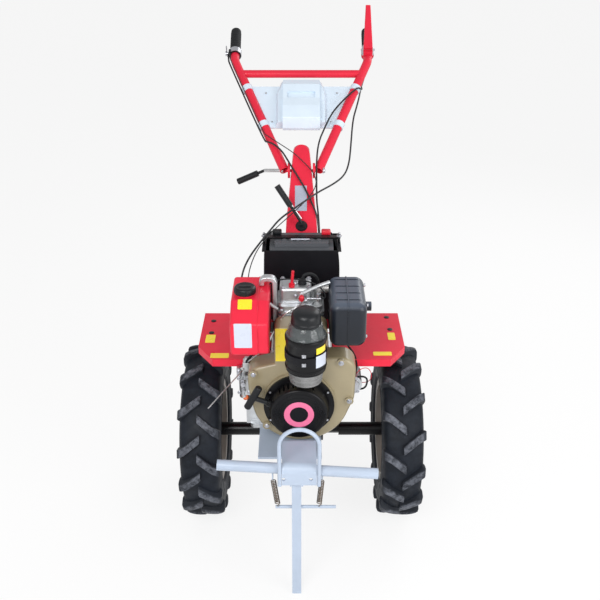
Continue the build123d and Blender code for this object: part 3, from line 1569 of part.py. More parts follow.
with BuildPart() as handlebar_frame:
    for sign in (-1, 1):
        with BuildLine(level_plane(0)) as bar_path:
            FilletPolyline(
                (sign * bar_low_x, pivot_y, pivot_z),
                (sign * bar_bend_x, bar_bend_y, bar_bend_z),
                (sign * grip_x, grip_end_y, grip_end_z),
                radius=bar_bend_r,
            )
        with BuildSketch(Plane(origin=bar_path.line @ 0, z_dir=bar_path.line % 0)):
            Circle(tube_r)
            Circle(tube_r - tube_wall, mode=Mode.SUBTRACT)
        sweep()
        with BuildSketch(side_plane(sign * bracket_in_x)):
            with Locations((pivot_y, pivot_z)):
                Circle(bracket_r)
        extrude(amount=sign * bracket_t)
    crossbar_y = pivot_y + crossbar_along * cos(bar_slope)
    crossbar_z = pivot_z + crossbar_along * sin(bar_slope)
    with BuildSketch(side_plane(-bar_half_width(crossbar_along))):
        with Locations((crossbar_y, crossbar_z)):
            Circle(crossbar_r)
    extrude(amount=bar_half_width(crossbar_along) * 2)
    with BuildSketch(side_plane(-pivot_pin_half)):
        with Locations((pivot_y, pivot_z)):
            Circle(pin_r)
    extrude(amount=pivot_pin_half * 2)
handlebar_frame.part.label = "handlebar_frame"
export_step(handlebar_frame.part, "parts/handlebar_frame.step")

for side, sign in (("left", 1), ("right", -1)):
    grip_dir = Vector(
        sign * (grip_x - bar_bend_x), grip_end_y - bar_bend_y, grip_end_z - bar_bend_z
    ).normalized()
    grip_end = Vector(sign * grip_x, axle_y + grip_end_y, grip_end_z)
    with BuildPart() as grip:
        with BuildSketch(Plane(origin=grip_end + grip_dir * 4, z_dir=-grip_dir)):
            Circle(grip_r)
        extrude(amount=grip_length)
        fillet(grip.edges().filter_by(GeomType.CIRCLE), 4)
        with BuildSketch(Plane(origin=grip_end, z_dir=-grip_dir)):
            Circle(tube_r + seat_gap)
        extrude(amount=grip_length, mode=Mode.SUBTRACT)
    grip.part.label = f"grip_{side}"
    export_step(grip.part, f"parts/grip_{side}.step")

def hood_outline(inward):
    """The console hood's six corners, moved inward by that much."""
    half = ((-hood_half_low, console_low), (-hood_half_low, hood_shoulder), (-hood_half_high, hood_high))
    left = [(x + inward, along + (inward if along == console_low else -inward)) for x, along in half]
    return [(-x, along) for x, along in left] + left[::-1]


with BuildPart() as console_form:
    with BuildSketch(Plane.XY):
        Polygon(*hood_outline(0), align=None)
    with BuildSketch(Plane.XY.offset(hood_t)):
        Polygon(*hood_outline(hood_draft), align=None)
    loft()
    with BuildSketch(Plane.YZ.offset(-face_half)):
        with BuildLine():
            Polyline(
                (belly_low, 0),
                (belly_low, belly_t / 3),
                (belly_low + belly_t / 2, belly_t),
                (belly_high, belly_t),
                (slot_low, face_t),
                (face_high, face_t),
                (hood_high, face_t / 2),
                (hood_high, 0),
                close=True,
            )
        make_face()
    extrude(amount=face_half * 2)
    cross_edges = console_form.edges().filter_by(GeomType.LINE).filter_by(Axis.X)
    fillet(cross_edges.group_by(Axis.Z)[-1], face_edge_r)
    cross_edges = console_form.edges().filter_by(GeomType.LINE).filter_by(Axis.X)
    fillet(cross_edges.group_by(Axis.Y)[0][-1], face_edge_r)
    with BuildSketch(Plane.XY.offset(face_t)):
        with Locations((0, (slot_low + slot_high) / 2)):
            RectangleRounded(slot_half * 2, slot_high - slot_low, face_edge_r)
    extrude(amount=-slot_depth, mode=Mode.SUBTRACT)
    with BuildSketch(Plane.XY.offset(-console_t / 2)):
        with BuildLine():
            Polyline(
                (-bar_half_width(console_low), console_low),
                (-bar_half_width(console_high), console_high),
                (bar_half_width(console_high), console_high),
                (bar_half_width(console_low), console_low),
                close=True,
            )
        make_face()
    extrude(amount=console_t)
    with BuildSketch(Plane.XY.offset(-console_t)):
        Polygon(*hood_outline(console_wall * 2), align=None)
    with BuildSketch(Plane.XY.offset(hood_t - console_wall)):
        Polygon(*hood_outline(hood_draft + console_wall), align=None)
    loft(mode=Mode.SUBTRACT)
    with BuildSketch(Plane.YZ.offset(-face_half + console_wall)):
        with BuildLine():
            Polyline(
                (belly_low + console_wall, 0),
                (belly_low + console_wall, belly_t / 3),
                (belly_low + belly_t / 2, belly_t - console_wall),
                (belly_high, belly_t - console_wall),
                (slot_low, face_t - slot_depth - console_wall),
                (face_high, face_t - slot_depth - console_wall),
                (face_high, 0),
                close=True,
            )
        make_face()
    extrude(amount=(face_half - console_wall) * 2, mode=Mode.SUBTRACT)
    with BuildSketch(Plane.XY.offset(console_t / 2)):
        with Locations(*console_screws):
            Circle(screw_boss_r)
    extrude(amount=screw_boss_t)

with BuildPart(bar_plane) as console:
    add(console_form.part)
    for sign in (-1, 1):
        for clamp_along in (console_low + clamp_half_l, console_high - clamp_half_l):
            clamp_at = bar_plane.from_local_coords((sign * bar_half_width(clamp_along), clamp_along, 0))
            with BuildSketch(
                Plane(origin=clamp_at - bar_direction(sign) * clamp_half_l, z_dir=bar_direction(sign))
            ):
                Circle(tube_r + seat_gap + console_wall)
            extrude(amount=clamp_half_l * 2)
        bar_foot = bar_plane.from_local_coords((sign * bar_low_x, 0, 0))
        with BuildSketch(Plane(origin=bar_foot, z_dir=bar_direction(sign))):
            Circle(tube_r + seat_gap)
        extrude(amount=bar_run, mode=Mode.SUBTRACT)
console.part.label = "console"
export_step(console.part, "parts/console.step")

# --- controls -----------------------------------------------------------------------------------
lever_clamp_r = tube_r + 6.0
lever_clamp_l = 26.0
# control, side of the machine, where its cables' ferrules sit round the clamp in degrees from the
# outer side towards the front
lever_controls = (("throttle", -1, (0.0, 40.0)), ("clutch", 1, (-78.0, -102.0)))
ferrules = {}
for control, sign, ferrule_angles in lever_controls:
    grip_dir = Vector(
        sign * (grip_x - bar_bend_x), grip_end_y - bar_bend_y, grip_end_z - bar_bend_z
    ).normalized()
    grip_end = Vector(sign * grip_x, axle_y + grip_end_y, grip_end_z)
    clamp_at = grip_end - grip_dir * (grip_length + lever_clamp_l)
    lever_out = Vector(sign, 0, 0)
    lever_up = Vector(1, 0, 0).cross(grip_dir)
    with BuildPart() as lever:
        with BuildSketch(Plane(origin=clamp_at, z_dir=grip_dir)):
            Circle(lever_clamp_r)
        extrude(amount=lever_clamp_l)
        for number, angle in enumerate(ferrule_angles):
            ferrule_at = (
                clamp_at
                - grip_dir * (ferrule_l - lever_clamp_l / 2)
                + lever_out * (ferrule_out * cos(radians(angle)))
                + lever_up * (ferrule_out * sin(radians(angle)))
            )
            ferrules[control, number] = (ferrule_at, grip_dir)
            with BuildSketch(Plane(origin=ferrule_at, z_dir=grip_dir)):
                Circle(ferrule_r)
            extrude(amount=ferrule_l)
        if control == "clutch":
            lever_dir = grip_dir.rotate(Axis.X, lever_slope)
            lever_start = clamp_at + lever_up * lever_rise
            with BuildSketch(Plane(origin=lever_start, x_dir=(1, 0, 0), z_dir=lever_dir)):
                RectangleRounded(lever_base_half * 2, lever_base_t, lever_wall)
            with BuildSketch(
                Plane(origin=lever_start + lever_dir * lever_reach, x_dir=(1, 0, 0), z_dir=lever_dir)
            ):
                RectangleRounded(lever_tip_half * 2, lever_tip_t, lever_wall)
            loft()
            with BuildSketch(Plane(origin=lever_start, x_dir=(1, 0, 0), z_dir=lever_up)):
                RectangleRounded(lever_base_half * 2, lever_clamp_l, lever_wall)
            extrude(amount=-lever_rise)
        with BuildSketch(Plane(origin=clamp_at - grip_dir * lever_clamp_l, z_dir=grip_dir)):
            Circle(tube_r + seat_gap)
        extrude(amount=lever_clamp_l * 3, mode=Mode.SUBTRACT)
    lever.part.label = f"{control}_lever"
    export_step(lever.part, f"parts/{control}_lever.step")

lock_points = (
    (-bar_low_x, pivot_y, pivot_z),
    (-128.0, 424.0, 1077.0),
    (-152.0, 427.0, 1066.0),
)
lock_grip_end = (-222.0, 436.0, 1032.0)
lock_rod_r = 5.0
lock_grip_r = 11.0
with BuildPart() as lock_lever:
    for rod_start, rod_end in zip(lock_points, lock_points[1:]):
        with BuildSketch(ring_plane(rod_start, rod_end)):
            Circle(lock_rod_r)
        extrude(amount=(Vector(*rod_end) - Vector(*rod_start)).length + 1)
    with BuildSketch(ring_plane(lock_points[-1], lock_grip_end)):
        Circle(lock_grip_r)
    extrude(amount=(Vector(*lock_grip_end) - Vector(*lock_points[-1])).length)
    bar_foot = bar_plane.from_local_coords((-bar_low_x, 0, 0))
    with BuildSketch(Plane(origin=bar_foot - bar_direction(-1) * bracket_r, z_dir=bar_direction(-1))):
        Circle(tube_r + seat_gap)
    extrude(amount=bar_run, mode=Mode.SUBTRACT)
lock_lever.part.label = "lock_lever"
export_step(lock_lever.part, "parts/lock_lever.step")

gear_run = (-36.0, 14.0, 53.0)
gear_grip_run = (-44.0, 18.0, 64.0)
boot_along = 24.0
boot_h = 24.0
boot_r = 17.0
boot_top_r = 9.0
boot_seat = (0.0, column_front_y + boot_along * column_cos, column_knee_z + boot_along * column_sin)
gear_foot = (0.0, boot_seat[1] - boot_h * column_sin, boot_seat[2] + boot_h * column_cos)
gear_knee = tuple(a + b for a, b in zip(gear_foot, gear_run))
gear_end = tuple(a + b for a, b in zip(gear_knee, gear_grip_run))
gear_rod_r = 5.0
gear_grip_r = 10.0
with BuildPart() as gear_lever:
    with BuildSketch(ring_plane(boot_seat, gear_foot)):
        Circle(boot_r)
    with BuildSketch(ring_plane(gear_foot, boot_seat)):
        Circle(boot_top_r)
    loft()
    with BuildSketch(ring_plane(gear_foot, gear_knee)):
        Circle(gear_rod_r)
    extrude(amount=(Vector(*gear_knee) - Vector(*gear_foot)).length + 1)
    with BuildSketch(ring_plane(gear_knee, gear_end)):
        Circle(gear_grip_r)
    extrude(amount=(Vector(*gear_end) - Vector(*gear_knee)).length)
gear_lever.part.label = "gear_lever"
export_step(gear_lever.part, "parts/gear_lever.step")

# --- control cables -----------------------------------------------------------------------------
# cable: control lever it leaves, number of its ferrule, sheath radius, route points after the
# ferrule as x, y behind the axle, z
cables = {
    "throttle_cable": (
        "throttle", 0, 3.0,
        (
            (-265, 788, 1362), (-129, 499, 1156), (-119, 480, 1163), (-96, 460, 1161),
            (-67, 438, 1143), (-44, 394, 1119), (-18, 350, 1090), (6, 317, 1062), (25, 284, 1034),
            (40, 256, 1009), (51, 232, 988), (57, 212, 950), (61, 207, 880), (63, 200, 790),
            (65, 203, 700), (62, 198, cable_tab_z + seat_gap),
        ),
    ),
    "clutch_cable": (
        "clutch", 1, 3.0,
        (
            (229, 788, 1337), (217, 734, 1298), (220, 718, 1293), (221, 698, 1291),
            (215, 678, 1298), (201, 667, 1306), (146, 616, 1270), (108, 571, 1239), (84, 524, 1205),
            (58, 466, 1163), (51, 394, 1112), (51.5, 345, 1062), (51, 300, 1015), (56, 262, 985),
            (60, 228, 930), (66, 222, 860), (72, 214, 780), (75, 206, 700),
            (74, 198, cable_tab_z + seat_gap),
        ),
    ),
    "decompression_cable": (
        "clutch", 0, 3.0,
        (
            (240, 790, 1330), (220, 739, 1290), (215, 714, 1275), (210, 687, 1263), (200, 646, 1242),
            (184, 600, 1205), (174, 510, 1130), (167, 460, 1092), (151, 420, 1062), (114, 366, 1051),
            (54, 300, 1043), (15, 238, 1039), (-31, 182, 1027), (-72, 149, 1008), (-99, 107, 989),
            (-130, 58, 968), (-167, -3, 938), (-187, -40, 896), (-186, -47, 840), (-179, -48, 785),
            (-171, -51, 748), (-156, -68, 712), (-134, -84, 680), (-116, -90, 666),
            (-crankcase_half_x - seat_gap, -90, 666),
        ),
    ),
    "stop_cable": (
        "throttle", 1, 1.6,
        (
            (-260, 782, 1375), (-131, 509, 1180), (-122, 498, 1181), (-106, 484, 1174),
            (-75, 464, 1160), (-37, 417, 1150), (-18, 405, 1139), (3, 387, 1124), (27, 366, 1106),
            (40, 352, 1094), (50, 326, 1076), (47, 305, 1061), (36, 287, 1047), (22, 266, 1035),
            (-25, 186, 1017), (-67, 138, 998), (-106, 92, 975), (-139, 45, 950), (-158, -10, 922),
            (-166, -42, 890), (-164, -48, 840), (-158, -50, 790), (-151, -54, 752), (-138, -68, 720),
            (-120, -77, 698), (-110, -78, 689), (-crankcase_half_x - seat_gap, -78, 689),
        ),
    ),
}
for cable_name, (control, ferrule, cable_r, route) in cables.items():
    ferrule_end, ferrule_dir = ferrules[control, ferrule]
    points = [ferrule_end - ferrule_dir * seat_gap, ferrule_end - ferrule_dir * ferrule_lead]
    points += [Vector(x, axle_y + y, z) for x, y, z in route]
    runs = [after - before for before, after in zip(points, points[1:])]
    bends = [
        cable_bend * min(run.length, after.length) / tan(radians(run.get_angle(after)) / 2)
        for run, after in zip(runs, runs[1:])
    ]
    print(cable_name, "bend radii", [round(bend) for bend in bends])
    with BuildPart() as cable:
        with BuildLine():
            FilletPolyline(*points, radius=bends)
        with BuildSketch(Plane(origin=points[0], z_dir=runs[0])):
            Circle(cable_r)
        sweep()
    section_length = cable.part.volume / (pi * cable_r**2)
    print(cable_name, "length", round(section_length), "of route", round(sum(run.length for run in runs)))
    cable.part.label = cable_name
    export_step(cable.part, f"parts/{cable_name}.step")
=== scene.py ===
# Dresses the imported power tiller. Lengths in the tables are millimetres from the ground point under
# the wheel axle: x to the operator's left, y to the rear, z up. at() turns them into the row frame.
import json
import math

import bmesh
import bpy
from mathutils import Matrix, Vector


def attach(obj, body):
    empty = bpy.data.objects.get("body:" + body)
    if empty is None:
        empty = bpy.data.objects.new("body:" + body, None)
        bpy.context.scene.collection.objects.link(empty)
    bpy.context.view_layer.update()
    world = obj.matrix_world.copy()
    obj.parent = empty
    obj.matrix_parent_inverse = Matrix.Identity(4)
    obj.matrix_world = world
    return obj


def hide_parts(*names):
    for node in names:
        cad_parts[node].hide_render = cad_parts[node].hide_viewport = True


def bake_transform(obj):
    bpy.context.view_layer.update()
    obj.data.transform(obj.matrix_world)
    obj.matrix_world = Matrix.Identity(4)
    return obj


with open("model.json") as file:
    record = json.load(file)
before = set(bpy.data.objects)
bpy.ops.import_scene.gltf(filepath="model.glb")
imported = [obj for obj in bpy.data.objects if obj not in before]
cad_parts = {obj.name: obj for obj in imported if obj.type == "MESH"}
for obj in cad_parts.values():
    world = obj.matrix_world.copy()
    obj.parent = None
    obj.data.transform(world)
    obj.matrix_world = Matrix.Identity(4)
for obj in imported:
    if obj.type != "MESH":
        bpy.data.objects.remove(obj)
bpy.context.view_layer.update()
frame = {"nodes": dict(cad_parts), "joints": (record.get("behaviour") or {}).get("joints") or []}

nodes = frame["nodes"]
joints = {joint["name"]: joint for joint in frame["joints"]}
AXLE = Vector(joints["wheel_left_spin"]["pos_m"])
MM = 0.001


def at(x, y, z):
    """Millimetres from the ground point under the axle to the row frame, in metres."""
    return Vector((x * MM, AXLE.y + y * MM, z * MM))


# --- materials ----------------------------------------------------------------------------------
class Tree:
    """Makes the nodes of one material."""

    def __init__(self, name):
        self.material = bpy.data.materials.new(name)
        self.material.use_nodes = True
        self.tree = self.material.node_tree
        self.shader = self.tree.nodes["Principled BSDF"]
        self.place = self.add("TexCoord").outputs["Object"]

    def add(self, kind, settings=None, **sockets):
        """Adds a node. i0, i1 and i2 are sockets by number, other names are the sockets' own."""
        made = self.tree.nodes.new("ShaderNode" + kind)
        for key, value in (settings or {}).items():
            setattr(made, key, value)
        for key, value in sockets.items():
            numbered = key[0] == "i" and key[1:].isdigit()
            self.feed(made.inputs[int(key[1:]) if numbered else key], value)
        return made

    def feed(self, socket, value):
        if isinstance(value, bpy.types.NodeSocket):
            self.tree.links.new(value, socket)
        else:
            socket.default_value = value

    def shade(self, name, value):
        """Feeds one input of the material's shader."""
        self.feed(self.shader.inputs[name], value)

    def noise(self, scale, detail=3.0, rough=0.55, stretch=None):
        place = self.place
        if stretch:
            place = self.add("Mapping", Vector=place, Scale=stretch).outputs[0]
        return self.add("TexNoise", Vector=place, Scale=scale, Detail=detail, Roughness=rough).outputs[0]

    def ramp(self, fac, low, high, a=0.0, b=1.0):
        """Takes low..high of fac to a..b."""
        made = self.add("MapRange", Value=fac)
        made.inputs["From Min"].default_value = low
        made.inputs["From Max"].default_value = high
        made.inputs["To Min"].default_value = a
        made.inputs["To Max"].default_value = b
        return made.outputs[0]

    def mix(self, fac, first, second):
        made = self.add("Mix", {"data_type": "RGBA"})
        self.feed(made.inputs[0], fac)
        for socket, value in ((made.inputs[6], first), (made.inputs[7], second)):
            self.feed(socket, value if isinstance(value, bpy.types.NodeSocket) else (*value, 1.0))
        return made.outputs[2]

    def clouds(self, colour, vary, scale, detail):
        """The colour, a little darker and lighter in soft clouds."""
        fac = self.ramp(self.noise(scale, detail), 0.3, 0.7)
        return self.mix(fac, tint(colour, 1 - vary), tint(colour, 1 + vary))

    def math(self, kind, first, second=0.0):
        return self.add("Math", {"operation": kind}, i0=first, i1=second).outputs[0]

    def edges(self, radius):
        """1 along sharp edges and 0 on flats."""
        soft = self.add("Bevel", {"samples": 4}, Radius=radius).outputs[0]
        flat = self.add("NewGeometry").outputs["Normal"]
        dot = self.add("VectorMath", {"operation": "DOT_PRODUCT"}, i0=soft, i1=flat).outputs["Value"]
        return self.ramp(dot, 1.0, 0.86)

    def bump(self, height, distance, strength=1.0, normal=None):
        made = self.add("Bump", Height=height, Distance=distance, Strength=strength)
        if normal is not None:
            self.feed(made.inputs["Normal"], normal)
        return made.outputs[0]


def tint(colour, factor):
    return tuple(min(1.0, c * factor) for c in colour)


def painted(
    name, colour, rough, coat, vary=0.06, wear=0.25, worn=(0.35, 0.33, 0.32),
    peel=0.00004, shine=0.5, dust_and_sheen=None,
):
    """Sprayed or powder-coated metal: faint clouding, orange peel, rubbed edges, and a painted sheen on top
    faces where its colour is given.
    """
    tree = Tree(name)
    base = tree.clouds(colour, vary, 9.0, 4.0)
    edge = tree.math("MULTIPLY", tree.edges(0.0012), tree.ramp(tree.noise(60.0, 5.0), 0.5, 0.68))
    base = tree.mix(tree.math("MULTIPLY", edge, wear), base, worn)
    # painted sheen: faces turned up are mixed towards the given sheen colour
    if dust_and_sheen:
        up = tree.add("SeparateXYZ", i0=tree.add("NewGeometry").outputs["Normal"]).outputs["Z"]
        base = tree.mix(tree.ramp(up, 0.15, 0.95), base, dust_and_sheen)
    tree.shade("Base Color", base)
    tree.shade("Roughness", tree.ramp(tree.noise(30.0, 3.0), 0.3, 0.7, rough - 0.05, rough + 0.07))
    tree.shade("Coat Weight", coat)
    tree.shade("Coat Roughness", 0.12)
    tree.shade("Specular IOR Level", shine)
    tree.shade("Normal", tree.bump(tree.noise(380.0, 2.0), peel))
    return tree.material


def cast_metal(name, colour, rough=0.45, grain=0.00025, vary=0.14, dark=(0.08, 0.08, 0.08), metal=0.9):
    """Sand- or die-cast metal: grainy skin, stains in soft random patches, brighter edges."""
    tree = Tree(name)
    base = tree.clouds(colour, vary, 22.0, 6.0)
    stain = tree.math("MULTIPLY", tree.ramp(tree.noise(8.0, 5.0), 0.52, 0.75), 0.35)
    base = tree.mix(stain, base, dark)
    base = tree.mix(tree.math("MULTIPLY", tree.edges(0.001), 0.5), base, tint(colour, 1.25))
    tree.shade("Base Color", base)
    tree.shade("Metallic", metal)
    tree.shade("Roughness", tree.ramp(tree.noise(70.0, 4.0), 0.3, 0.7, rough - 0.1, rough + 0.12))
    tree.shade("Normal", tree.bump(tree.noise(520.0, 4.0, 0.7), grain))
    return tree.material


def bright_metal(name, colour=(0.62, 0.62, 0.63), rough=0.25, stretch=(1, 1, 12)):
    """Plated or turned steel with fine tool lines."""
    tree = Tree(name)
    lines = tree.noise(240.0, 2.0, 0.5, stretch)
    base = tree.mix(tree.ramp(tree.noise(25.0, 4.0), 0.35, 0.7), tint(colour, 0.9), tint(colour, 1.08))
    tree.shade("Base Color", base)
    tree.shade("Metallic", 1.0)
    tree.shade("Roughness", tree.ramp(lines, 0.3, 0.7, rough - 0.06, rough + 0.1))
    tree.shade("Normal", tree.bump(lines, 0.00003))
    return tree.material


def moulded(name, colour, rough=0.42, grain=0.00006, scale=700.0, vary=0.05, coat=0.0, shine=0.5):
    """Moulded plastic or rubber skin with a fine spark-eroded grain."""
    tree = Tree(name)
    base = tree.clouds(colour, vary, 14.0, 4.0)
    tree.shade("Base Color", base)
    tree.shade("Roughness", tree.ramp(tree.noise(40.0, 3.0), 0.3, 0.7, rough - 0.05, rough + 0.08))
    tree.shade("Coat Weight", coat)
    tree.shade("Specular IOR Level", shine)
    tree.shade("Normal", tree.bump(tree.noise(scale, 2.0), grain))
    return tree.material


def tyre_rubber(name, dark, light, dust_and_sheen, share, top_r=0.0):
    """Tyre rubber: blue-black, with a light speckle and scuffs, only past top_r where that is given; the
    speckle is dust, and on the lug tops partly a painted sheen.
    """
    tree = Tree(name)
    if top_r:
        parts = tree.add("SeparateXYZ", i0=tree.place).outputs
        y, z = tree.math("SUBTRACT", parts["Y"], AXLE.y), tree.math("SUBTRACT", parts["Z"], AXLE.z)
        square = tree.math("ADD", tree.math("MULTIPLY", y, y), tree.math("MULTIPLY", z, z))
        share = tree.math("MULTIPLY", tree.ramp(tree.math("SQRT", square), top_r - 0.006, top_r), share)
    base = tree.mix(tree.ramp(tree.noise(10.0, 5.0), 0.35, 0.7), dark, light)
    # light speckle: dust, and on the lug tops partly a painted sheen
    speck = tree.math("MULTIPLY", tree.ramp(tree.noise(42.0, 8.0, 0.75), 0.4, 0.62), share)
    base = tree.mix(speck, base, dust_and_sheen)
    base = tree.mix(tree.math("MULTIPLY", tree.edges(0.003), 0.2), base, dust_and_sheen)
    tree.shade("Base Color", base)
    tree.shade("Roughness", tree.ramp(tree.noise(34.0, 4.0), 0.3, 0.7, 0.5, 0.7))
    tree.shade("Specular IOR Level", 0.22)
    fine = tree.bump(tree.noise(900.0, 2.0), 0.00008)
    tree.shade("Normal", tree.bump(tree.noise(60.0, 4.0), 0.0004, 0.6, fine))
    return tree.material


def clear_plastic(name):
    """See-through bowl, a little smoked and unevenly clear."""
    tree = Tree(name)
    base = tree.mix(tree.noise(20.0), (0.13, 0.15, 0.155), (0.2, 0.22, 0.225))
    tree.shade("Base Color", base)
    tree.shade("Roughness", tree.ramp(tree.noise(60.0, 4.0), 0.3, 0.7, 0.02, 0.12))
    tree.shade("Alpha", tree.ramp(tree.noise(35.0, 3.0), 0.3, 0.7, 0.2, 0.32))
    tree.shade("Coat Weight", 1.0)
    return tree.material


def film(name, colour, vary=0.04, coat=0.4):
    """A sticker or bare plate, in one colour."""
    return moulded(name, colour, 0.3, 0.00001, 200.0, vary, coat)


RED = (0.72, 0.018, 0.048)
LUG_TOP_R = 0.286  # metres from the axle: past this the lugs get the light speckle, dust and partly a painted sheen
M = {
    "red": painted("red_paint", RED, 0.42, 0.08, shine=0.25),
    "red_dark": painted("red_paint_dull", tint(RED, 0.75), 0.45, 0.05, shine=0.2),
    "gold": painted("engine_gold", (0.31, 0.26, 0.16), 0.34, 0.3, 0.09),
    "pale": painted("pale_blue_grey", (0.40, 0.47, 0.58), 0.4, 0.2, 0.05, 0.3, (0.3, 0.3, 0.3)),
    "black": painted(
        "black_paint", (0.004, 0.004, 0.005), 0.3, 0.06, 0.2, 0.12, (0.06, 0.06, 0.06), shine=0.22
    ),
    "black_satin": painted(
        "black_satin", (0.006, 0.006, 0.008), 0.45, 0.0, 0.2, 0.15, (0.08, 0.08, 0.08), shine=0.2
    ),
    # the muffler's last colour is a painted bluish sheen on its upper faces
    "muffler": painted(
        "muffler_black", (0.010, 0.013, 0.020), 0.36, 0.1, 0.2, 0.12, (0.1, 0.11, 0.13),
        peel=0.00008, shine=0.35, dust_and_sheen=(0.075, 0.092, 0.125),
    ),
    "rim": painted("rim_grey", (0.25, 0.225, 0.2), 0.5, 0.1, 0.08, 0.2, (0.12, 0.12, 0.12)),
    "tyre": tyre_rubber(
        "tyre_rubber", (0.005, 0.007, 0.011), (0.009, 0.012, 0.019), (0.022, 0.028, 0.04), 0.3
    ),
    # lug tops: the light speckle colour is dust and partly a painted sheen
    "lug": tyre_rubber(
        "tyre_lug_rubber", (0.011, 0.013, 0.018), (0.024, 0.028, 0.036), (0.15, 0.16, 0.19), 0.9, LUG_TOP_R
    ),
    "alloy": cast_metal("cast_alloy", (0.62, 0.64, 0.66), 0.4),
    "iron": cast_metal("cast_iron_dark", (0.07, 0.07, 0.075), 0.5, 0.0004, 0.2, (0.03, 0.03, 0.03), 0.5),
    "steel": bright_metal("bright_steel"),
    "zinc": bright_metal("zinc_plate", (0.55, 0.56, 0.6), 0.33),
    "exhaust": bright_metal("exhaust_steel", (0.62, 0.61, 0.6), 0.42),
    "spring": bright_metal("spring_steel", (0.24, 0.2, 0.17), 0.42),
    "smoke": moulded("smoked_alloy", (0.2, 0.2, 0.2), 0.3, 0.0002, 260.0, 0.4),
    "cable": moulded("cable_jacket", (0.013, 0.014, 0.016), 0.42, 0.00003, 300.0),
    "lid": moulded("battery_lid", (0.075, 0.08, 0.09), 0.35),
    "console": moulded("console_plastic", (0.66, 0.76, 0.86), 0.42, 0.00005, 700.0, 0.03, 0.15),
    "plastic": moulded("black_plastic", (0.006, 0.007, 0.009), 0.33, shine=0.35),
    "rubber": moulded("black_rubber", (0.011, 0.012, 0.014), 0.6, 0.00012, 500.0, shine=0.25),
    "clear": clear_plastic("clear_bowl"),
    "orange": moulded("orange_plastic", (0.8, 0.16, 0.03), 0.4),
    "red_plastic": moulded("red_plastic", (0.62, 0.012, 0.03), 0.35),
    "yellow": film("yellow_film", (0.9, 0.7, 0.015)),
    "white": film("white_film", (0.54, 0.58, 0.68)),
    "pink": film("pink_film", (0.78, 0.16, 0.31), 0.06),
    "silver_film": film("silver_film", (0.42, 0.45, 0.55), 0.1, 0.5),
}

# CAD node, or its name without the side: its look in M
NODE_LOOKS = {
    "tyre": "tyre", "rim": "rim", "hub": "black", "gearbox": "black_satin", "hitch": "black_satin",
    "clutch_housing": "black_satin", "crankcase": "alloy", "fan_shroud": "gold", "recoil_cover": "black",
    "recoil_handle": "plastic", "air_cleaner_base": "zinc", "air_cleaner_body": "black",
    "air_cleaner_bowl": "clear", "air_cleaner_cap": "plastic", "cylinder_barrel": "iron",
    "cylinder_head": "alloy", "rocker_cover": "alloy", "decompression_lever": "red_plastic",
    "injector": "zinc", "intake_duct": "alloy", "exhaust_pipe": "exhaust", "muffler": "muffler",
    "fuel_tank": "red", "tank_cap": "plastic", "starter_motor": "alloy", "fuel_pump": "alloy",
    "dipstick": "orange",
    "engine_bed": "pale", "bumper_tube": "pale", "guard_hoop": "pale", "front_apron": "pale",
    "stand_leg": "pale", "stand_springs": "spring", "fender": "red", "fender_bracket": "red_dark",
    "battery_box": "black_satin", "battery": "lid", "battery_clamp": "black", "handle_column": "red",
    "handlebar_frame": "red", "grip": "rubber", "console": "console", "clutch_lever": "red",
    "throttle_lever": "plastic", "lock_lever": "plastic", "gear_lever": "plastic",
    "throttle_cable": "rubber", "clutch_cable": "rubber", "decompression_cable": "rubber",
    "stop_cable": "rubber",
}
for name, node in nodes.items():
    kind = name if name in NODE_LOOKS else name.rsplit("_", 1)[0]
    for slot in node.material_slots:
        slot.material = M[NODE_LOOKS[kind]]


# --- forms --------------------------------------------------------------------------------------
# look of a piece: its key in M, the material that it takes its finish from
X, Y, Z = Vector((1, 0, 0)), Vector((0, 1, 0)), Vector((0, 0, 1))


def route(points, radius, fine):
    """Mesh of a round tube along a smooth line, with fine steps from point to point."""
    curve = bpy.data.curves.new("route", "CURVE")
    curve.dimensions = "3D"
    curve.bevel_depth = radius * MM
    curve.bevel_resolution = 3
    curve.use_fill_caps = True
    spline = curve.splines.new("NURBS")
    spline.points.add(len(points) - 1)
    for control, point in zip(spline.points, points):
        control.co = (*at(*point), 1.0)
    spline.order_u = 3
    spline.use_endpoint_u = True
    spline.resolution_u = fine
    holder = bpy.data.objects.new("route", curve)
    mesh = bpy.data.meshes.new_from_object(holder)
    bpy.data.objects.remove(holder)
    bpy.data.curves.remove(curve)
    return mesh


def across(axis):
    """Two unit vectors square to axis and to each other."""
    side = axis.cross(Z if abs(axis.z) < 0.9 else X).normalized()
    return side, axis.cross(side).normalized()


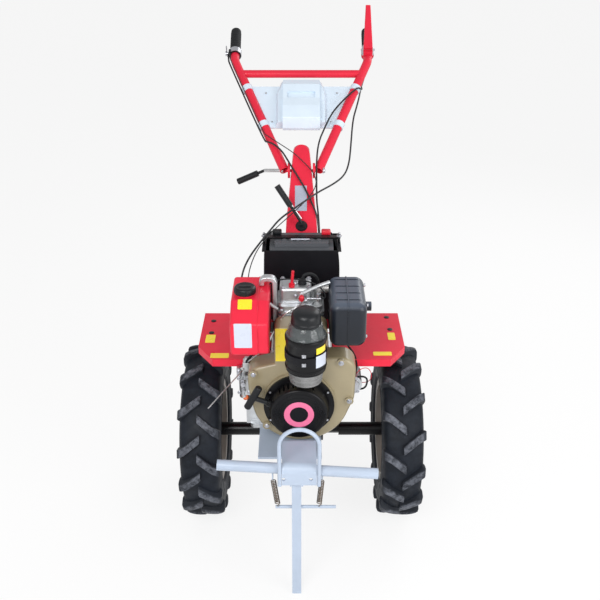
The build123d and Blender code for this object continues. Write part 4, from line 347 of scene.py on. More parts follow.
class Form:
    """Collects one piece's mesh from places in millimetres, as at() reads them."""

    def __init__(self):
        self.mesh = bmesh.new()

    def skin(self, rings, caps=True):
        """Skins rings of points from the first ring to the last."""
        rows = [[self.mesh.verts.new(at(*point)) for point in ring] for ring in rings]
        count = len(rows[0])
        for low, high in zip(rows, rows[1:]):
            for i in range(count):
                j = (i + 1) % count
                self.mesh.faces.new((low[i], low[j], high[j], high[i]))
        if caps:
            self.mesh.faces.new(rows[0])
            self.mesh.faces.new(rows[-1])
        return self

    def turn(self, origin, axis, profile, count=32, ring=False):
        """A turned body: profile is (along, radius) from one end to the other, or a loop for a ring."""
        axis = Vector(axis).normalized()
        side, other = across(axis)
        origin = Vector(origin)
        angles = [math.tau * i / count for i in range(count)]
        spokes = [side * math.cos(a) + other * math.sin(a) for a in angles]
        rings = [[origin + axis * along + spoke * radius for spoke in spokes] for along, radius in profile]
        if ring:
            rings.append(rings[0])
        return self.skin(rings, caps=not ring)

    def block(self, centre, size, axes=(X, Y, Z), edge=1.0):
        """A box with rounded edges; axes are its own unit directions."""
        made = bmesh.ops.create_cube(self.mesh, size=1.0)["verts"]
        turned = Matrix([list(axis) for axis in axes]).transposed().to_4x4()
        scaled = Matrix.Diagonal((*[length * MM for length in size], 1.0))
        bmesh.ops.transform(self.mesh, matrix=Matrix.Translation(at(*centre)) @ turned @ scaled, verts=made)
        sides = list({side for vert in made for side in vert.link_edges})
        bmesh.ops.bevel(self.mesh, geom=sides, offset=edge * MM, segments=2, affect="EDGES", profile=0.5)
        return self

    def plate(self, centre, right, up, width, height, thick, corner):
        """A thin sheet with rounded corners, lying on centre with its face along right x up."""
        right, up = Vector(right).normalized(), Vector(up).normalized()
        out = right.cross(up)
        centre = Vector(centre)
        outline = []
        for sx, sy, turn in ((1, 1, 0), (-1, 1, 90), (-1, -1, 180), (1, -1, 270)):
            for step in range(5):
                a = math.radians(turn + 22.5 * step)
                outline.append((
                    sx * (width / 2 - corner) + corner * math.cos(a),
                    sy * (height / 2 - corner) + corner * math.sin(a),
                ))
        drawn_in = 1.0 - thick * 0.4 / max(width, height) * 2
        return self.skin([
            [centre + right * x * k + up * y * k + out * lift for x, y in outline]
            for lift, k in ((0.0, 1.0), (thick * 0.6, 1.0), (thick, drawn_in))
        ])

    def bolt(self, place, axis, r):
        """A hexagon head of corner radius r with its washer, standing along axis from place."""
        axis = Vector(axis).normalized()
        self.turn(place, axis, ((0.0, r * 1.45), (r * 0.18, r * 1.45), (r * 0.26, r * 1.36)), 20)
        base = r * 0.26
        head = [(base, r), (base + r * 0.62, r), (base + r * 0.8, r * 0.84), (base + r * 0.82, r * 0.5)]
        return self.turn(place, axis, head, 6)

    def tube(self, points, radius, fine=6):
        """A round tube along a smooth line near the points."""
        self.mesh.from_mesh(route(points, radius, fine))
        return self

    def make(self, name, look, body="chassis", sharp=35.0, stands_for=()):
        """Turns the mesh into a piece of that look on that body, or on none yet where body is None."""
        bmesh.ops.remove_doubles(self.mesh, verts=self.mesh.verts, dist=1e-6)
        bmesh.ops.recalc_face_normals(self.mesh, faces=self.mesh.faces)
        mesh = bpy.data.meshes.new(name)
        self.mesh.to_mesh(mesh)
        self.mesh.free()
        for polygon in mesh.polygons:
            polygon.use_smooth = True
        mesh.set_sharp_from_angle(angle=math.radians(sharp))
        mesh.materials.append(M[look])
        piece = bpy.data.objects.new(name, mesh)
        bpy.context.scene.collection.objects.link(piece)
        if body:
            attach(piece, body)
        if stands_for:
            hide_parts(*stands_for)
        return piece


def bolts(name, places, body="chassis"):
    """A piece of bolt heads, each with its place, axis and corner radius."""
    form = Form()
    for place, axis, r in places:
        form.bolt(place, axis, r)
    form.make(name, "zinc", body)


def round_z(number, count):
    """Unit vector at one of count even steps round Z."""
    a = math.tau * number / count
    return Vector((math.cos(a), math.sin(a), 0))


# --- tyres --------------------------------------------------------------------------------------
WHEEL_X, TIP_R = 325.0, 290.0
LUGS = 14  # on each half of the tread
DISC_IN = 16.0  # the disc's outer face, in from the wheel's middle
STUDS, STUD_CIRCLE_R = 5, 50
VALVE_OUT, VALVE_R = 46, 138  # foot of the valve: out from the disc's face, up from the axle
# carcass: across the tyre from its middle, radius
TREAD = ((0, 271.5), (14, 271.2), (29, 270), (42, 267.2), (51, 263.6), (57, 258), (60.5, 250), (63.5, 238))
WALL = (
    (65.6, 226), (66.2, 217), (66.0, 212.5), (67.4, 211.5), (67.4, 208.5), (65.8, 207.5), (64.2, 199),
    (61.6, 190), (61.0, 187.5), (61.6, 186.5), (61.0, 183.5), (58.6, 182.6), (55, 178), (51.2, 175.6),
    (50.2, 172),
)
INSIDE = ((50.2, 153), (36, 153), (40, 176), (56, 214), (50, 250), (0, 262))
# lug stations across the tyre: top (x, radius), foot (x, radius), width as a share of LUG_HALF
LUG = (
    ((-3.0, 274.0), (-1.0, 266.0), 0.62),
    ((-5.0, 281.0), (-4.0, 266.0), 0.82),
    ((-4.6, 287.0), (-5.0, 266.0), 0.93),
    ((-1.5, 289.4), (-1.0, 266.0), 1.00),
    ((16.0, 289.7), (16.0, 265.5), 1.00),
    ((32.0, 289.2), (32.0, 264.0), 1.00),
    ((44.0, 288.0), (44.0, 260.0), 1.02),
    ((56.0, 285.4), (50.0, 256.0), 1.06),
    ((64.5, 281.0), (54.0, 252.0), 1.10),
    ((67.6, 273.0), (57.0, 248.0), 1.10),
    ((67.8, 260.0), (58.0, 244.0), 1.08),
    ((67.4, 249.0), (59.0, 240.0), 1.04),
    ((65.8, 243.0), (60.0, 238.0), 0.98),
)
LUG_HALF = 14.0
LUG_START_X, LUG_KNEE_X, LUG_LEAN = -5.0, 44.0, 20.0
# corner of the lug's section: way round the tyre from its edge, share of the height
LUG_CORNERS = ((-3.4, 0.0), (-0.6, 0.8), (1.8, 1.0))


def lug_run(x):
    """Way round the tyre of a lug's middle line, at a place across it."""
    if x < LUG_KNEE_X:
        return -LUG_LEAN + (x - LUG_START_X) * 2 * LUG_LEAN / (LUG_KNEE_X - LUG_START_X)
    return LUG_LEAN + (x - LUG_KNEE_X) / 2


def lug_rings(centre, way, side, turn):
    """Rings of one lug: side is +1 or -1 across the tyre, way the sense in which it leans."""
    rings = []
    for (x, r), (foot_x, foot_r), wide in LUG:
        half = LUG_HALF * wide
        corners = [(-half + shift, high) for shift, high in LUG_CORNERS]
        corners += [(half - shift, high) for shift, high in reversed(LUG_CORNERS)]
        ring = []
        for shift, high in corners:
            place_x = foot_x + (x - foot_x) * high
            radius = foot_r + (r - foot_r) * high
            a = turn + (way * lug_run(x) + shift) / TIP_R
            ring.append((centre + side * place_x, radius * math.cos(a), TIP_R + radius * math.sin(a)))
        rings.append(ring)
    return rings


for side_name, wheel_sign in (("left", 1), ("right", -1)):
    centre = wheel_sign * WHEEL_X
    half_loop = [*TREAD, *WALL, *INSIDE]
    loop = half_loop + [(-x, r) for x, r in half_loop[-2:0:-1]]
    carcass = Form().turn((centre, 0, TIP_R), X, loop, 112, ring=True)
    carcass.make(f"tyre_carcass_{side_name}", "tyre", f"wheel_{side_name}", 40, (f"tyre_{side_name}",))
    lugs = Form()
    for number in range(LUGS * 2):
        side = wheel_sign if number % 2 == 0 else -wheel_sign
        lugs.skin(lug_rings(centre, -wheel_sign, side, math.pi * number / LUGS))
    lugs.make(f"tyre_lugs_{side_name}", "lug", f"wheel_{side_name}", 38, (f"tyre_{side_name}",))

    outward = X * wheel_sign
    disc = Vector((centre - wheel_sign * DISC_IN, 0, TIP_R))
    nuts = Form()
    for number in range(STUDS):
        a = math.tau * (number + 0.5) / STUDS
        place = disc + Vector((0, math.cos(a) * STUD_CIRCLE_R, math.sin(a) * STUD_CIRCLE_R))
        nuts.bolt(place, outward, 8.0)
        nuts.turn(place, outward, ((0, 4.0), (13, 4.0), (14, 3.2)), 12)
    nuts.turn(disc, outward, ((0.0, 23.5), (3.0, 23.5), (5.0, 20.0), (6.0, 8.0)), 32)
    nuts.make(f"wheel_nuts_{side_name}", "zinc", f"wheel_{side_name}")
    valve = Form().turn(
        disc + Vector((wheel_sign * VALVE_OUT, 0, VALVE_R)), (wheel_sign, 0, -0.25),
        ((-6, 5.0), (0, 4.6), (4, 3.2), (22, 2.8), (23, 3.6), (32, 3.6), (33, 2.6)), 14,
    )
    valve.make(f"valve_{side_name}", "rubber", f"wheel_{side_name}")

# --- engine front -------------------------------------------------------------------------------
CRANK = Vector((-8.0, 0, 557.0))
FRONT = -Y


def round_crank(radius, degrees, y):
    """A place round the crankshaft, in degrees from +X upwards."""
    a = math.radians(degrees)
    return Vector((CRANK.x + radius * math.cos(a), y, CRANK.z + radius * math.sin(a)))


Form().turn(
    (CRANK.x, -291.2, CRANK.z), FRONT, ((-0.4, 27.5), (0.5, 27.5), (0.5, 45.2), (-0.4, 45.2)), 64, ring=True
).make("recoil_ring_blank", "pink")
bolts("recoil_bolts", [(round_crank(101, 30 + 60 * number, -245.4), FRONT, 3.8) for number in range(6)])
ridges = Form()
for radius, y in ((84.0, -289.3), (72.0, -292.0), (60.0, -292.0)):
    section = ((-1.0, radius - 1.6), (0.7, radius - 0.9), (0.7, radius + 0.9), (-1.0, radius + 1.6))
    ridges.turn((CRANK.x, y, CRANK.z), FRONT, section, 72, ring=True)
ridges.make("recoil_ridges", "black")

SHROUD_Y, DUCT_Y = -234.3, -228.4
rim_bolts = ((118, 703, 5.8), (-146, 662, 5.4), (146, 566, 5.6), (-108, 474, 5.0))
shroud_bolts = [((x, SHROUD_Y, z), FRONT, r) for x, z, r in rim_bolts]
bolts("shroud_bolts", [*shroud_bolts, ((62, DUCT_Y, 760), FRONT, 5.0)])
Form().plate((-56, -228.2, 763), X, Z, 44, 112, 0.6, 2.0).make("shroud_label_blank", "yellow")
edge_line = ((150, 660), (152, 600), (151, 540), (132, 488), (100, 445), (64, 424))
Form().tube([(x, -160, z) for x, z in edge_line], 3.2).make("shroud_edge_rubber", "rubber")

# --- air cleaner --------------------------------------------------------------------------------
CLEANER = Vector((12.0, -300.0, 0.0))
cleaner_base = Form().turn(
    CLEANER, Z,
    ((688, 38), (689, 44), (691, 47), (696, 48), (698, 45.5), (704, 46), (706, 49), (712, 50), (714, 47),
     (721, 48), (724, 52), (730, 54), (732, 52)), 48,
)
for number in range(12):
    spoke = round_z(number + 0.5, 12)
    cleaner_base.block(CLEANER + spoke * 47.5 + Z * 709, (4.0, 2.2, 20.0), (spoke, Z.cross(spoke), Z), 0.8)
cleaner_base.make("cleaner_base", "smoke", stands_for=("air_cleaner_base",))
Form().turn(
    CLEANER, Z,
    ((731, 55), (733, 58.4), (740, 58.4), (742, 60.6), (748, 60.6), (750, 58.2), (760, 58), (826, 58),
     (829, 60), (836, 60.4), (841, 60.4), (844, 59), (845, 56)), 64,
).make("cleaner_body", "black", stands_for=("air_cleaner_body",))
Form().turn(
    CLEANER, Z, ((770, 58.0), (770, 61.2), (773, 61.7), (793, 61.7), (796, 61.2), (796, 58.0)), 64, ring=True
).make("cleaner_band", "black_satin")
Form().turn(
    CLEANER, Z,
    ((845, 55.0), (846, 57.6), (849, 57.6), (852, 55.0), (862, 52.5), (874, 49.5), (879, 46.5), (881, 42.0),
     (880, 40.5), (876, 44.5), (862, 49.6), (851, 52.2), (846, 52.2)), 64, ring=True,
).make("cleaner_bowl", "clear", stands_for=("air_cleaner_bowl",))
Form().turn(CLEANER, Z, ((845, 49), (846, 51), (851, 50.6), (862, 48), (874, 43.6), (877, 40)), 40).make(
    "cleaner_funnel", "plastic"
)
Form().turn(
    CLEANER, Z,
    ((878, 39), (878.5, 42.6), (882, 43.4), (888, 43.2), (890, 41.8), (893, 42.2), (906, 41.6), (913, 38.8),
     (918.5, 33), (921.5, 24), (922.6, 12), (922.8, 4)), 56,
).make("cleaner_cap", "plastic", stands_for=("air_cleaner_cap",))
latch = Form()
for z, deep in ((804, 58.6), (777, 62.2)):
    latch.block(CLEANER + Vector((-6, -deep, z)), (12, 3.0, 11), edge=0.9)
    bail = ((-10, 4), (-10, -4), (-2, -4), (-2, 4))
    latch.tube([CLEANER + Vector((x, -deep - 1.6, z + rise)) for x, rise in bail], 0.9)
latch.make("cleaner_latch", "zinc")


def wrap(low_deg, high_deg, low, high, radius):
    """A thin label bent round the cleaner; degrees run from the front towards +X."""
    thick, steps = 0.6, 10
    rings = []
    for step in range(steps + 1):
        a = math.radians(low_deg + (high_deg - low_deg) * step / steps)
        out = Vector((math.sin(a), -math.cos(a), 0))
        inner, outer = CLEANER + out * radius, CLEANER + out * (radius + thick)
        rings.append([inner + Z * low, outer + Z * (low + 0.5), outer + Z * (high - 0.5), inner + Z * high])
    return Form().skin(rings)


wrap(30, 68, 804, 824, 58.1).make("cleaner_label_yellow", "yellow")
wrap(27, 64, 762, 801, 61.9).make("cleaner_label_white", "white")

# --- fuel tank ----------------------------------------------------------------------------------
Form().plate((-168, -290.2, 831), X, Z, 51, 80, 0.6, 3).make("tank_label_white", "white")
slope = Vector((0, 75, 42)).normalized()
on_slope = Vector((-164, -229.4, 900.2)) + X.cross(slope) * 0.3
Form().plate(on_slope, X, slope, 41, 34, 0.6, 3).make("tank_label_yellow", "yellow")
CAP_SEAT = Vector((-166, -180, 908))
cap = Form()
cap.turn(CAP_SEAT, Z, ((6.2, 29), (7, 31.4), (22, 31.4), (25, 29.5), (26.5, 26), (25.6, 23), (25.2, 8)), 64)
for number in range(28):
    spoke = round_z(number, 28)
    cap.block(CAP_SEAT + spoke * 31.3 + Z * 14.6, (2.4, 3.4, 14.0), (spoke, Z.cross(spoke), Z), 0.9)
cap.block(CAP_SEAT + Z * 25.8, (36, 8, 3.4), edge=1.4)
cap.make("tank_cap_ribbed", "plastic", stands_for=("tank_cap",))
seam = ((-289.5, 778), (-290.2, 850), (-287, 866), (-222, 905), (-208, 908.5), (-66, 908.5))
Form().tube([(-127, y, z) for y, z in seam], 1.6).make("tank_seam", "red")
drain = Form()
drain.turn((-196, -200, 763), -Z, ((0, 9), (6, 9), (8, 6), (14, 6), (16, 9), (24, 9), (26, 5), (34, 4)), 20)
drain.turn((-196, -200, 744), FRONT, ((0, 4), (14, 4), (16, 7), (19, 7), (20, 5)), 16)
drain.make("tank_cock", "zinc")

# --- muffler ------------------------------------------------------------------------------------
MUFFLER_X = 190.2
bolts("muffler_bolts", [((MUFFLER_X, y, z), X, 4.6) for z in (778, 882) for y in (-70, -200)])

# --- cylinder head ------------------------------------------------------------------------------
cover_bolts = [((x, y, 898.2), Z, 5.4) for x in (-58, 22) for y in (-118, -58)]
front_bolts = [((x, -150.4, z), FRONT, 4.6) for x, z in ((-60, 812), (46, 812), (-60, 836), (50, 836))]
bolts("head_bolts", [*cover_bolts, ((-18, -126.4, 872), FRONT, 5.0), *front_bolts])
fuel = Form()
fuel.turn((4, -140, 846), Z, ((0, 10), (10, 10), (12, 7.5), (28, 7.5), (30, 5)), 24)
fuel.turn((4, -140, 866), X, ((-12, 6), (12, 6), (13, 4)), 20)
fuel.turn((16, -140, 872), X, ((0, 5), (9, 5), (10, 3.2), (30, 3.2), (31, 5), (41, 5), (42, 3)), 18)
fuel.block((50, -136, 870), (16, 14, 10), edge=2)
fuel.turn((50, -140, 862), Z, ((0, 4), (20, 4), (21, 6.5), (27, 6.5), (28, 4)), 16)
fuel.make("injector_fittings", "zinc")
Form().turn(
    (-1, -142, 868), (0.05, -0.35, 1), ((0, 7.5), (4, 8.6), (13, 8.2), (17, 5.5), (18.5, 2)), 24
).make("injector_cap", "red_plastic")
# piece: look, radius, its line
FUEL_LINES = {
    "injection_pipe": ("steel", 2.6, (
        (-2, -146, 858), (-24, -166, 852), (-52, -172, 836), (-74, -170, 806), (-88, -166, 762),
        (-108, -164, 716), (-150, -162, 676), (-178, -150, 650), (-182, -140, 628),
    )),
    "fuel_hose": ("rubber", 4.0, (
        (-120, -150, 764), (-122, -156, 744), (-132, -160, 716), (-150, -160, 690), (-170, -156, 664),
        (-176, -148, 640), (-176, -140, 626),
    )),
    "leak_off_hose": ("rubber", 2.2, (
        (56, -140, 872), (72, -138, 868), (70, -120, 884), (40, -108, 908), (-20, -100, 920),
        (-80, -100, 914), (-104, -110, 900), (-100, -122, 880),
    )),
}
for name, (look, radius, points) in FUEL_LINES.items():
    Form().tube(points, radius).make(name, look)
lift = Form()
lift.turn((-22, -90, 893), Z, ((0, 12), (5, 12), (7, 9), (12, 8)), 24)
lift.block((-14, -90, 902), (26, 9, 6), edge=1.5)
lift.make("decompression_base", "zinc")
breather = Form()
breather.turn((2, -92, 897.5), Z, ((0, 13), (9, 13), (11, 11), (14, 11), (15, 6)), 28)
breather.tube(
    [(2, -92, 908), (2, -92, 922), (14, -88, 930), (34, -78, 924), (50, -60, 900), (56, -44, 860)], 4.2
)
breather.make("breather", "rubber")
Form().turn(
    (-114, -112, 908.2), Z, ((0, 7.5), (2, 9.4), (14, 9.4), (19, 7), (20.5, 2.5)), 24
).make("bracket_cap_red", "red_plastic")
Form().turn((-130, -148, 884), FRONT, ((-8, 8.5), (-6, 10.5), (6, 10.5), (8, 8.5)), 24).make(
    "bracket_bush", "rubber"
)
arm = Form()
arm.tube([(-130, -140, 884), (-120, -142, 880), (-106, -146, 868), (-88, -150, 852), (-72, -151, 842)], 5.0)
arm.block((-128, -136, 884), (12, 20, 7), edge=2)
arm.make("bracket_arm", "alloy")
stay = Form()
stay.tube([(0, -131, 884), (18, -131, 893), (50, -122, 906), (84, -112, 913)], 6.0)
stay.bolt((0, -136.5, 884), FRONT, 5.0)
stay.make("muffler_stay", "alloy")

# --- injection pump and its side ----------------------------------------------------------------
pump = Form()
pump.turn((-182, -140, 606), Z, ((0, 13), (6, 13), (8, 9), (16, 9), (17, 11), (26, 11), (28, 6), (34, 5)), 24)
pump.turn((-182, -156, 588), FRONT, ((0, 9), (5, 9), (6, 6), (14, 6), (15, 8), (21, 8), (22, 4)), 20)
pump.turn((-182, -156, 556), FRONT, ((0, 7), (4, 7), (5, 4.5), (10, 4.5)), 20)
for z in (546, 598):
    pump.bolt((-166, -156.4, z), FRONT, 4.4)
    pump.bolt((-196, -156.4, z), FRONT, 4.4)
pump.block((-196, -150, 622), (12, 22, 30), edge=2.5)
pump.bolt((-196, -161.4, 628), FRONT, 4.2)
pump.make("pump_fittings", "zinc")
pump_cast = Form()
pump_cast.block((-172, -146, 640), (22, 24, 34), edge=4)
pump_cast.turn((-172, -146, 655), Z, ((0, 10), (8, 10), (10, 8)), 24)
pump_cast.block((-160, -150, 668), (34, 14, 9), edge=3)
pump_cast.make("speed_control_body", "alloy")
speed = Form()
speed.tube([(-184, -158, 630), (-190, -166, 626), (-236, -222, 598), (-282, -280, 572)], 1.8)
speed.turn((-184, -150, 634), FRONT, ((0, 7), (8, 7), (9, 5)), 18)
speed.make("speed_rod", "steel")

Form().tube([(-128, -104, 500), (-150, -122, 504), (-170, -136, 512), (-176, -142, 520)], 5.5).make(
    "oil_filler_neck", "alloy"
)
filler_way = Vector((-0.35, -0.45, 1)).normalized()
filler_cap = Form().turn((-176, -142, 516), filler_way, ((0, 8), (2, 10), (8, 10), (10, 7), (11, 4)), 24)
filler_cap.block(Vector((-176, -142, 516)) + filler_way * 13, (20, 5, 8), edge=1.5)
filler_cap.make("oil_filler_cap", "orange")

# --- starter side -------------------------------------------------------------------------------
starter = Form()
starter.bolt((152, -158.4, 585), FRONT, 4.2)
starter.bolt((176, -158.4, 552), FRONT, 4.2)
starter.turn((160, -158.2, 566), FRONT, ((0, 20), (3, 19), (5, 10), (6, 4)), 32)
starter.turn((160, -156, 604), FRONT, ((0, 15), (6, 15), (8, 12), (14, 6), (22, 3.5)), 24)
starter.turn((168, -156, 612), FRONT, ((0, 4), (16, 4), (17, 6), (21, 6)), 14)
starter.make("starter_fittings", "zinc")
# from the starter to the crankcase, and up the battery box to the battery
leads = Form()
for points in (
    ((168, -172, 612), (180, -176, 620), (200, -160, 606), (208, -140, 580), (205, -128, 548),
     (192, -112, 528), (160, -96, 520), (120, -84, 522), (98, -80, 524)),
    ((160, -166, 604), (172, -170, 632), (170, -120, 660), (140, -70, 676), (122, -20, 690), (119, 30, 720),
     (119.5, 60, 800), (120, 90, 900), (104, 140, 962), (88, 148, 966)),
):
    leads.tube(points, 3.0)
leads.make("starter_leads", "rubber")
red_wire = (
    (164, -160, 610), (178, -168, 640), (204, -150, 636), (220, -130, 604), (222, -118, 572),
    (208, -100, 544), (176, -84, 536),
)
Form().tube(red_wire, 1.2).make("starter_wire_red", "red_plastic")

# --- battery ------------------------------------------------------------------------------------
posts = Form()
for x in (-79, 79):
    posts.turn((x, 144, 960), Z, ((-2, 9), (4, 9), (5, 7.5), (9, 7.0)), 20)
posts.make("battery_posts", "zinc")
lid = Form()
for number in range(6):
    x = -55 + 22 * number
    lid.turn((x, 92, 959.8), Z, ((0, 7.4), (2.2, 7.4), (3.2, 6.4), (3.2, 3)), 20)
lid.plate((0, 80, 960), X, Y, 172, 2.5, 1.2, 1.0)
lid.make("battery_vents", "lid")
for x, name, look in ((-79, "battery_cover_black", "plastic"), (79, "battery_cover_red", "red_plastic")):
    Form().block((x, 136, 970), (30, 24, 15), edge=4.5).make(name, look)
Form().plate((-4, 92, 963.3), X, Y, 60, 9, 0.6, 2).make("battery_label_white", "white")
nuts = Form()
for x in (-120.5, 120.5):
    nuts.bolt((x, 110, 966.2), Z, 6.0)
    nuts.turn((x, 110, 966), Z, ((0, 3.4), (12, 3.4), (13, 2.8)), 12)
nuts.make("battery_clamp_nuts", "zinc")
earth = (
    (-84, 146, 968), (-100, 156, 966), (-118, 150, 930), (-121, 130, 850), (-121, 110, 760),
    (-112, 96, 700), (-90, 90, 664),
)
Form().tube(earth, 3.4).make("battery_earth_lead", "rubber")

# --- column and levers --------------------------------------------------------------------------
column_up = Vector((0, 256, 219)).normalized()
column_out = X.cross(column_up)
column_foot = Vector((0, 190, 944))
plate_place = column_foot + X * -2 + column_up * 128 + column_out * 0.2
Form().plate(plate_place, X, column_up, 40, 96, 0.5, 3).make("column_plate_blank", "silver_film")
Form().tube([(-62, 400, 1085), (-96, 412, 1081), (-128, 424, 1077)], 6.2).make(
    "lock_rod_sleeve", "steel", "handlebar"
)
Form().tube([(-3, 206, 985), (-20, 213, 1006), (-38, 219, 1033)], 5.6).make("gear_rod_sleeve", "steel")
Form().turn(
    (0, 208, 960), (0, -0.65, 0.76),
    ((0.2, 20), (2, 19.5), (5, 16), (7, 17), (10, 13.4), (12, 14.4), (15, 11.4), (17, 12.2), (22, 9.6),
     (25, 8)), 36,
).make("gear_boot", "rubber")

# --- control cables -----------------------------------------------------------------------------
# cable node: radius, its line from the handlebar's lever down
CABLES = {
    "throttle_cable": (3.0, (
        (-270.9, 824.7, 1381.9), (-270.6, 807.6, 1373.6), (-265, 788, 1362), (-129, 499, 1156),
        (-119, 480, 1163), (-96, 460, 1161), (-67, 438, 1143), (-44, 394, 1119), (-18, 350, 1090),
        (6, 317, 1062), (25, 284, 1034), (40, 256, 1009), (51, 232, 988), (57, 212, 950),
        (61, 207, 880), (63, 200, 790), (65, 203, 700), (62, 198, 606),
    )),
    "clutch_cable": (3.0, (
        (241.4, 835.0, 1360.3), (241.0, 817.8, 1352.0), (229, 788, 1337), (217, 734, 1298),
        (220, 718, 1293), (221, 698, 1291), (215, 678, 1298), (201, 667, 1306), (146, 616, 1270),
        (108, 571, 1239), (84, 524, 1205), (58, 466, 1163), (51, 394, 1112), (51.5, 345, 1062),
        (51, 300, 1015), (56, 262, 985), (60, 228, 930), (66, 222, 860), (72, 214, 780),
        (75, 206, 700), (74, 198, 606),
    )),
    "decompression_cable": (3.0, (
        (251.6, 835.0, 1360.3), (251.2, 817.8, 1352.0), (240, 790, 1330), (220, 739, 1290),
        (215, 714, 1275), (210, 687, 1263), (200, 646, 1242), (184, 600, 1205), (174, 510, 1130),
        (167, 460, 1092), (151, 420, 1062), (114, 366, 1051), (54, 300, 1043), (15, 238, 1039),
        (-31, 182, 1027), (-72, 149, 1008), (-99, 107, 989), (-130, 58, 968), (-167, -3, 938),
        (-187, -40, 896), (-186, -47, 840), (-179, -48, 785), (-171, -51, 748), (-156, -68, 712),
        (-134, -84, 680), (-116, -90, 666), (-95.3, -90, 666),
    )),
    "stop_cable": (1.6, (
        (-265.2, 817.8, 1396.1), (-264.9, 800.6, 1387.8), (-260, 782, 1375), (-131, 509, 1180),
        (-122, 498, 1181), (-106, 484, 1174), (-75, 464, 1160), (-37, 417, 1150), (-18, 405, 1139),
        (3, 387, 1124), (27, 366, 1106), (40, 352, 1094), (50, 326, 1076), (47, 305, 1061),
        (36, 287, 1047), (22, 266, 1035), (-25, 186, 1017), (-67, 138, 998), (-106, 92, 975),
        (-139, 45, 950), (-158, -10, 922), (-166, -42, 890), (-164, -48, 840), (-158, -50, 790),
        (-151, -54, 752), (-138, -68, 720), (-120, -77, 698), (-110, -78, 689), (-95.3, -78, 689),
    )),
}
for name, (radius, points) in CABLES.items():
    piece = Form().tube(points, radius, fine=10).make(f"{name}_line", "cable", None, stands_for=(name,))
    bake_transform(piece)

# --- stand springs ------------------------------------------------------------------------------
COIL_R, WIRE_R = 7.4, 1.35
COIL_TURNS, TURN_STEPS = 15, 10
COIL_INSET = 12  # from each end of the spring to its first turn
for number, (top_x, low_x) in enumerate(((-85, -70), (60, 51))):
    top, low = Vector((top_x, -430, 434)), Vector((low_x, -434.1, 325))
    way = (low - top).normalized()
    side, other = across(way)
    pitch_run = (low - top).length - 2 * COIL_INSET
    # from the eye out to the coil: along the spring, off its middle line
    run_out = ((1.5, 1.0), (5, 5), (9, COIL_R))
    coil = [top + way * along + side * off for along, off in run_out]
    for step in range(COIL_TURNS * TURN_STEPS + 1):
        a = math.tau * step / TURN_STEPS
        along = COIL_INSET + pitch_run * step / (COIL_TURNS * TURN_STEPS)
        coil.append(top + way * along + side * COIL_R * math.cos(a) + other * COIL_R * math.sin(a))
    coil += [low - way * along + side * off for along, off in reversed(run_out)]
    piece = Form().tube(coil, WIRE_R, fine=3).make(
        f"stand_spring_{number}", "spring", None, stands_for=("stand_springs",)
    )
    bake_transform(piece)

# --- fenders ------------------------------------------------------------------------------------
fender = Form()
for x, y in ((289, 134), (293, 52), (-296, 109), (-296, 30)):
    fender.turn((x, y, 654.6), Z, ((0, 9), (1.6, 8.6), (2.2, 6), (2.4, 2)), 20)
fender.make("fender_plugs", "plastic")
fender_labels = ((255, -101, 58, 22), (293.5, 7.5, 24, 46), (-257.5, -112.5, 58, 28), (-296, -8.5, 31, 50))
for number, (x, y, wide, deep) in enumerate(fender_labels):
    Form().plate((x, y, 655.1), X, Y, wide, deep, 0.5, 3).make(f"fender_label_{number}", "yellow")

# --- handlebar ----------------------------------------------------------------------------------
# lower and upper end of the left tube's straight run under the grip
GRIP_FOOT, GRIP_END = Vector((246, 800, 1370)), Vector((249, 958, 1446))
for sign, side_name in ((1, "left"), (-1, "right")):
    mirror = Vector((sign, 1, 1))
    along = ((GRIP_END - GRIP_FOOT) * mirror).normalized()
    end = GRIP_END * mirror
    ribs = Form()
    for number in range(9):
        start = end - along * (18 + 11.5 * number)
        ribs.turn(start, along, ((0, 18.6), (1.2, 19.9), (5.0, 19.9), (6.2, 18.6)), 40, ring=True)
    ribs.turn(end - along * 117, along, ((0, 18.8), (1, 21.4), (5, 21.4), (7, 18.8)), 40, ring=True)
    ribs.make(f"grip_ribs_{side_name}", "rubber", "handlebar")
    up = X.cross(along)
    clamp = Form()
    foot = end - along * 144
    clamp.turn(foot, along, ((1, 22.1), (1, 23.6), (25, 23.6), (25, 22.1)), 40, ring=True)
    if sign > 0:
        clamp.block(foot + along * 12 + up * 15, (42, 32, 27), (X, along, up), 4)
        for shift in (-21, 21):
            clamp.bolt(foot + along * 12 + up * 18 + X * shift, X * shift, 4.5)
    else:
        clamp.turn(foot + along * 13 + X * -23, -X, ((0, 6), (8, 6), (9, 9), (13, 9), (14, 6)), 24)
        clamp.block(foot + along * 20 + X * -32 + up * 10, (4, 10, 34), (X, along, up), 1.5)
    clamp.make(f"lever_clamp_{side_name}", "zinc", "handlebar")

PIVOT = Vector((0, 400, 1085))
BAR_UP = Vector((0, 0.8144, 0.5803))
BAR_OUT = X.cross(BAR_UP)
CONSOLE_FACE = 3.0
screws = Form()
for x, along in ((128, 336), (-128, 336), (104, 206), (-104, 206)):
    place = PIVOT + X * x + BAR_UP * along + BAR_OUT * CONSOLE_FACE
    screws.turn(place, BAR_OUT, ((0, 5.4), (1.0, 5.2), (2.2, 3.4), (2.5, 1.2)), 20)
screws.make("console_screws", "zinc", "handlebar")
bolts("pivot_bolts", [(PIVOT + X * 73.5, X, 8.0)], "handlebar")


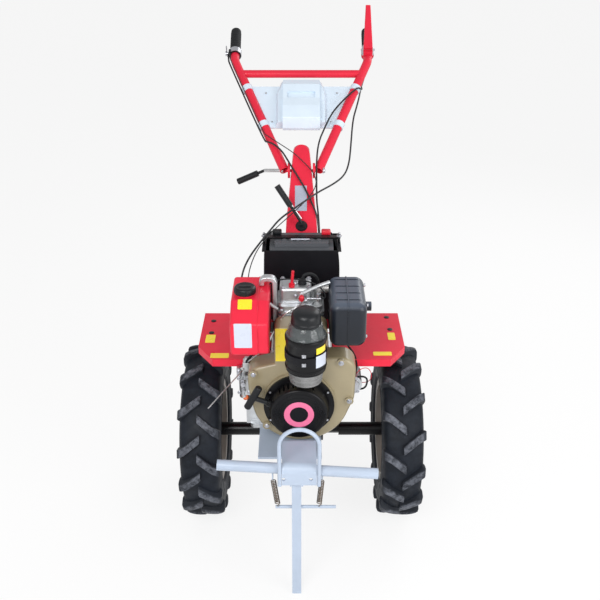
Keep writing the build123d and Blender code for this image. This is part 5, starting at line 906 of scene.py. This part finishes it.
# --- studio -------------------------------------------------------------------------------------
def studio_material(name, colour, shown):
    """White where seen or mirrored, with a share of the lit surface so that shadows stay."""
    tree = Tree(name)
    light_path = tree.add("LightPath").outputs
    seen = tree.math("MAXIMUM", light_path["Is Camera Ray"], light_path["Is Glossy Ray"])
    seen = tree.math("MAXIMUM", seen, light_path["Is Transmission Ray"])
    tree.shade("Roughness", 0.9)
    grain = tree.mix(tree.noise(3.0, 2.0), tint(colour, 0.99), tint(colour, 1.01))
    tree.shade("Base Color", grain)
    glow = tree.add("Emission", Color=(1, 1, 1, 1), Strength=1.0).outputs[0]
    both = tree.add("MixShader", i0=tree.math("MULTIPLY", seen, shown), i1=tree.shader.outputs[0], i2=glow)
    tree.tree.links.new(both.outputs[0], tree.tree.nodes["Material Output"].inputs["Surface"])
    return tree.material


floor_mesh = bpy.data.meshes.new("floor")
half = 14.0  # metres
floor_corners = [(-half, -half, 0), (half, -half, 0), (half, half, 0), (-half, half, 0)]
floor_mesh.from_pydata(floor_corners, [], [(0, 1, 2, 3)])
floor = bpy.data.objects.new("floor", floor_mesh)
bpy.context.scene.collection.objects.link(floor)
floor_mesh.materials.append(studio_material("studio_floor", (0.86, 0.86, 0.86), 0.82))

world = bpy.data.worlds.new("studio")
bpy.context.scene.world = world
world.use_nodes = True
sky = world.node_tree
sky_path = sky.nodes.new("ShaderNodeLightPath")
sky_seen = sky.nodes.new("ShaderNodeMath")
sky_seen.operation = "MAXIMUM"
sky.links.new(sky_path.outputs["Is Camera Ray"], sky_seen.inputs[0])
sky.links.new(sky_path.outputs["Is Transmission Ray"], sky_seen.inputs[1])
sky_strength = sky.nodes.new("ShaderNodeMapRange")
sky_strength.inputs["To Min"].default_value = 0.62
sky_strength.inputs["To Max"].default_value = 1.0
sky.links.new(sky_seen.outputs[0], sky_strength.inputs["Value"])
sky.links.new(sky_strength.outputs[0], sky.nodes["Background"].inputs["Strength"])
sky.nodes["Background"].inputs["Color"].default_value = (1, 1, 1, 1)

# lamp: place in the tables' millimetres, size in metres, watts; each is aimed at the engine
LAMPS = {
    "key": ((-900, -2700, 2700), 1.6, 66.0),
    "fill": ((2000, -2000, 1500), 1.8, 38.0),
    "back": ((1700, 2100, 2300), 1.6, 24.0),
}
aim = at(0, 0, 700)
for name, (place, size, watts) in LAMPS.items():
    lamp = bpy.data.lights.new(name, "AREA")
    lamp.energy, lamp.size = watts, size
    lamp_object = bpy.data.objects.new(name, lamp)
    lamp_object.location = at(*place)
    lamp_object.rotation_euler = (aim - lamp_object.location).to_track_quat("-Z", "Y").to_euler()
    bpy.context.scene.collection.objects.link(lamp_object)

camera = bpy.data.cameras.new("camera")
camera.sensor_width = 36.0
camera.lens = 50.16
looks_down = 27.95  # degrees
camera_object = bpy.data.objects.new("camera", camera)
camera_object.location = at(-5, -2350, 2040)
camera_object.rotation_euler = (math.radians(90 - looks_down), 0, 0)
bpy.context.scene.collection.objects.link(camera_object)
bpy.context.scene.camera = camera_object
bpy.context.scene.view_settings.view_transform = "Standard"
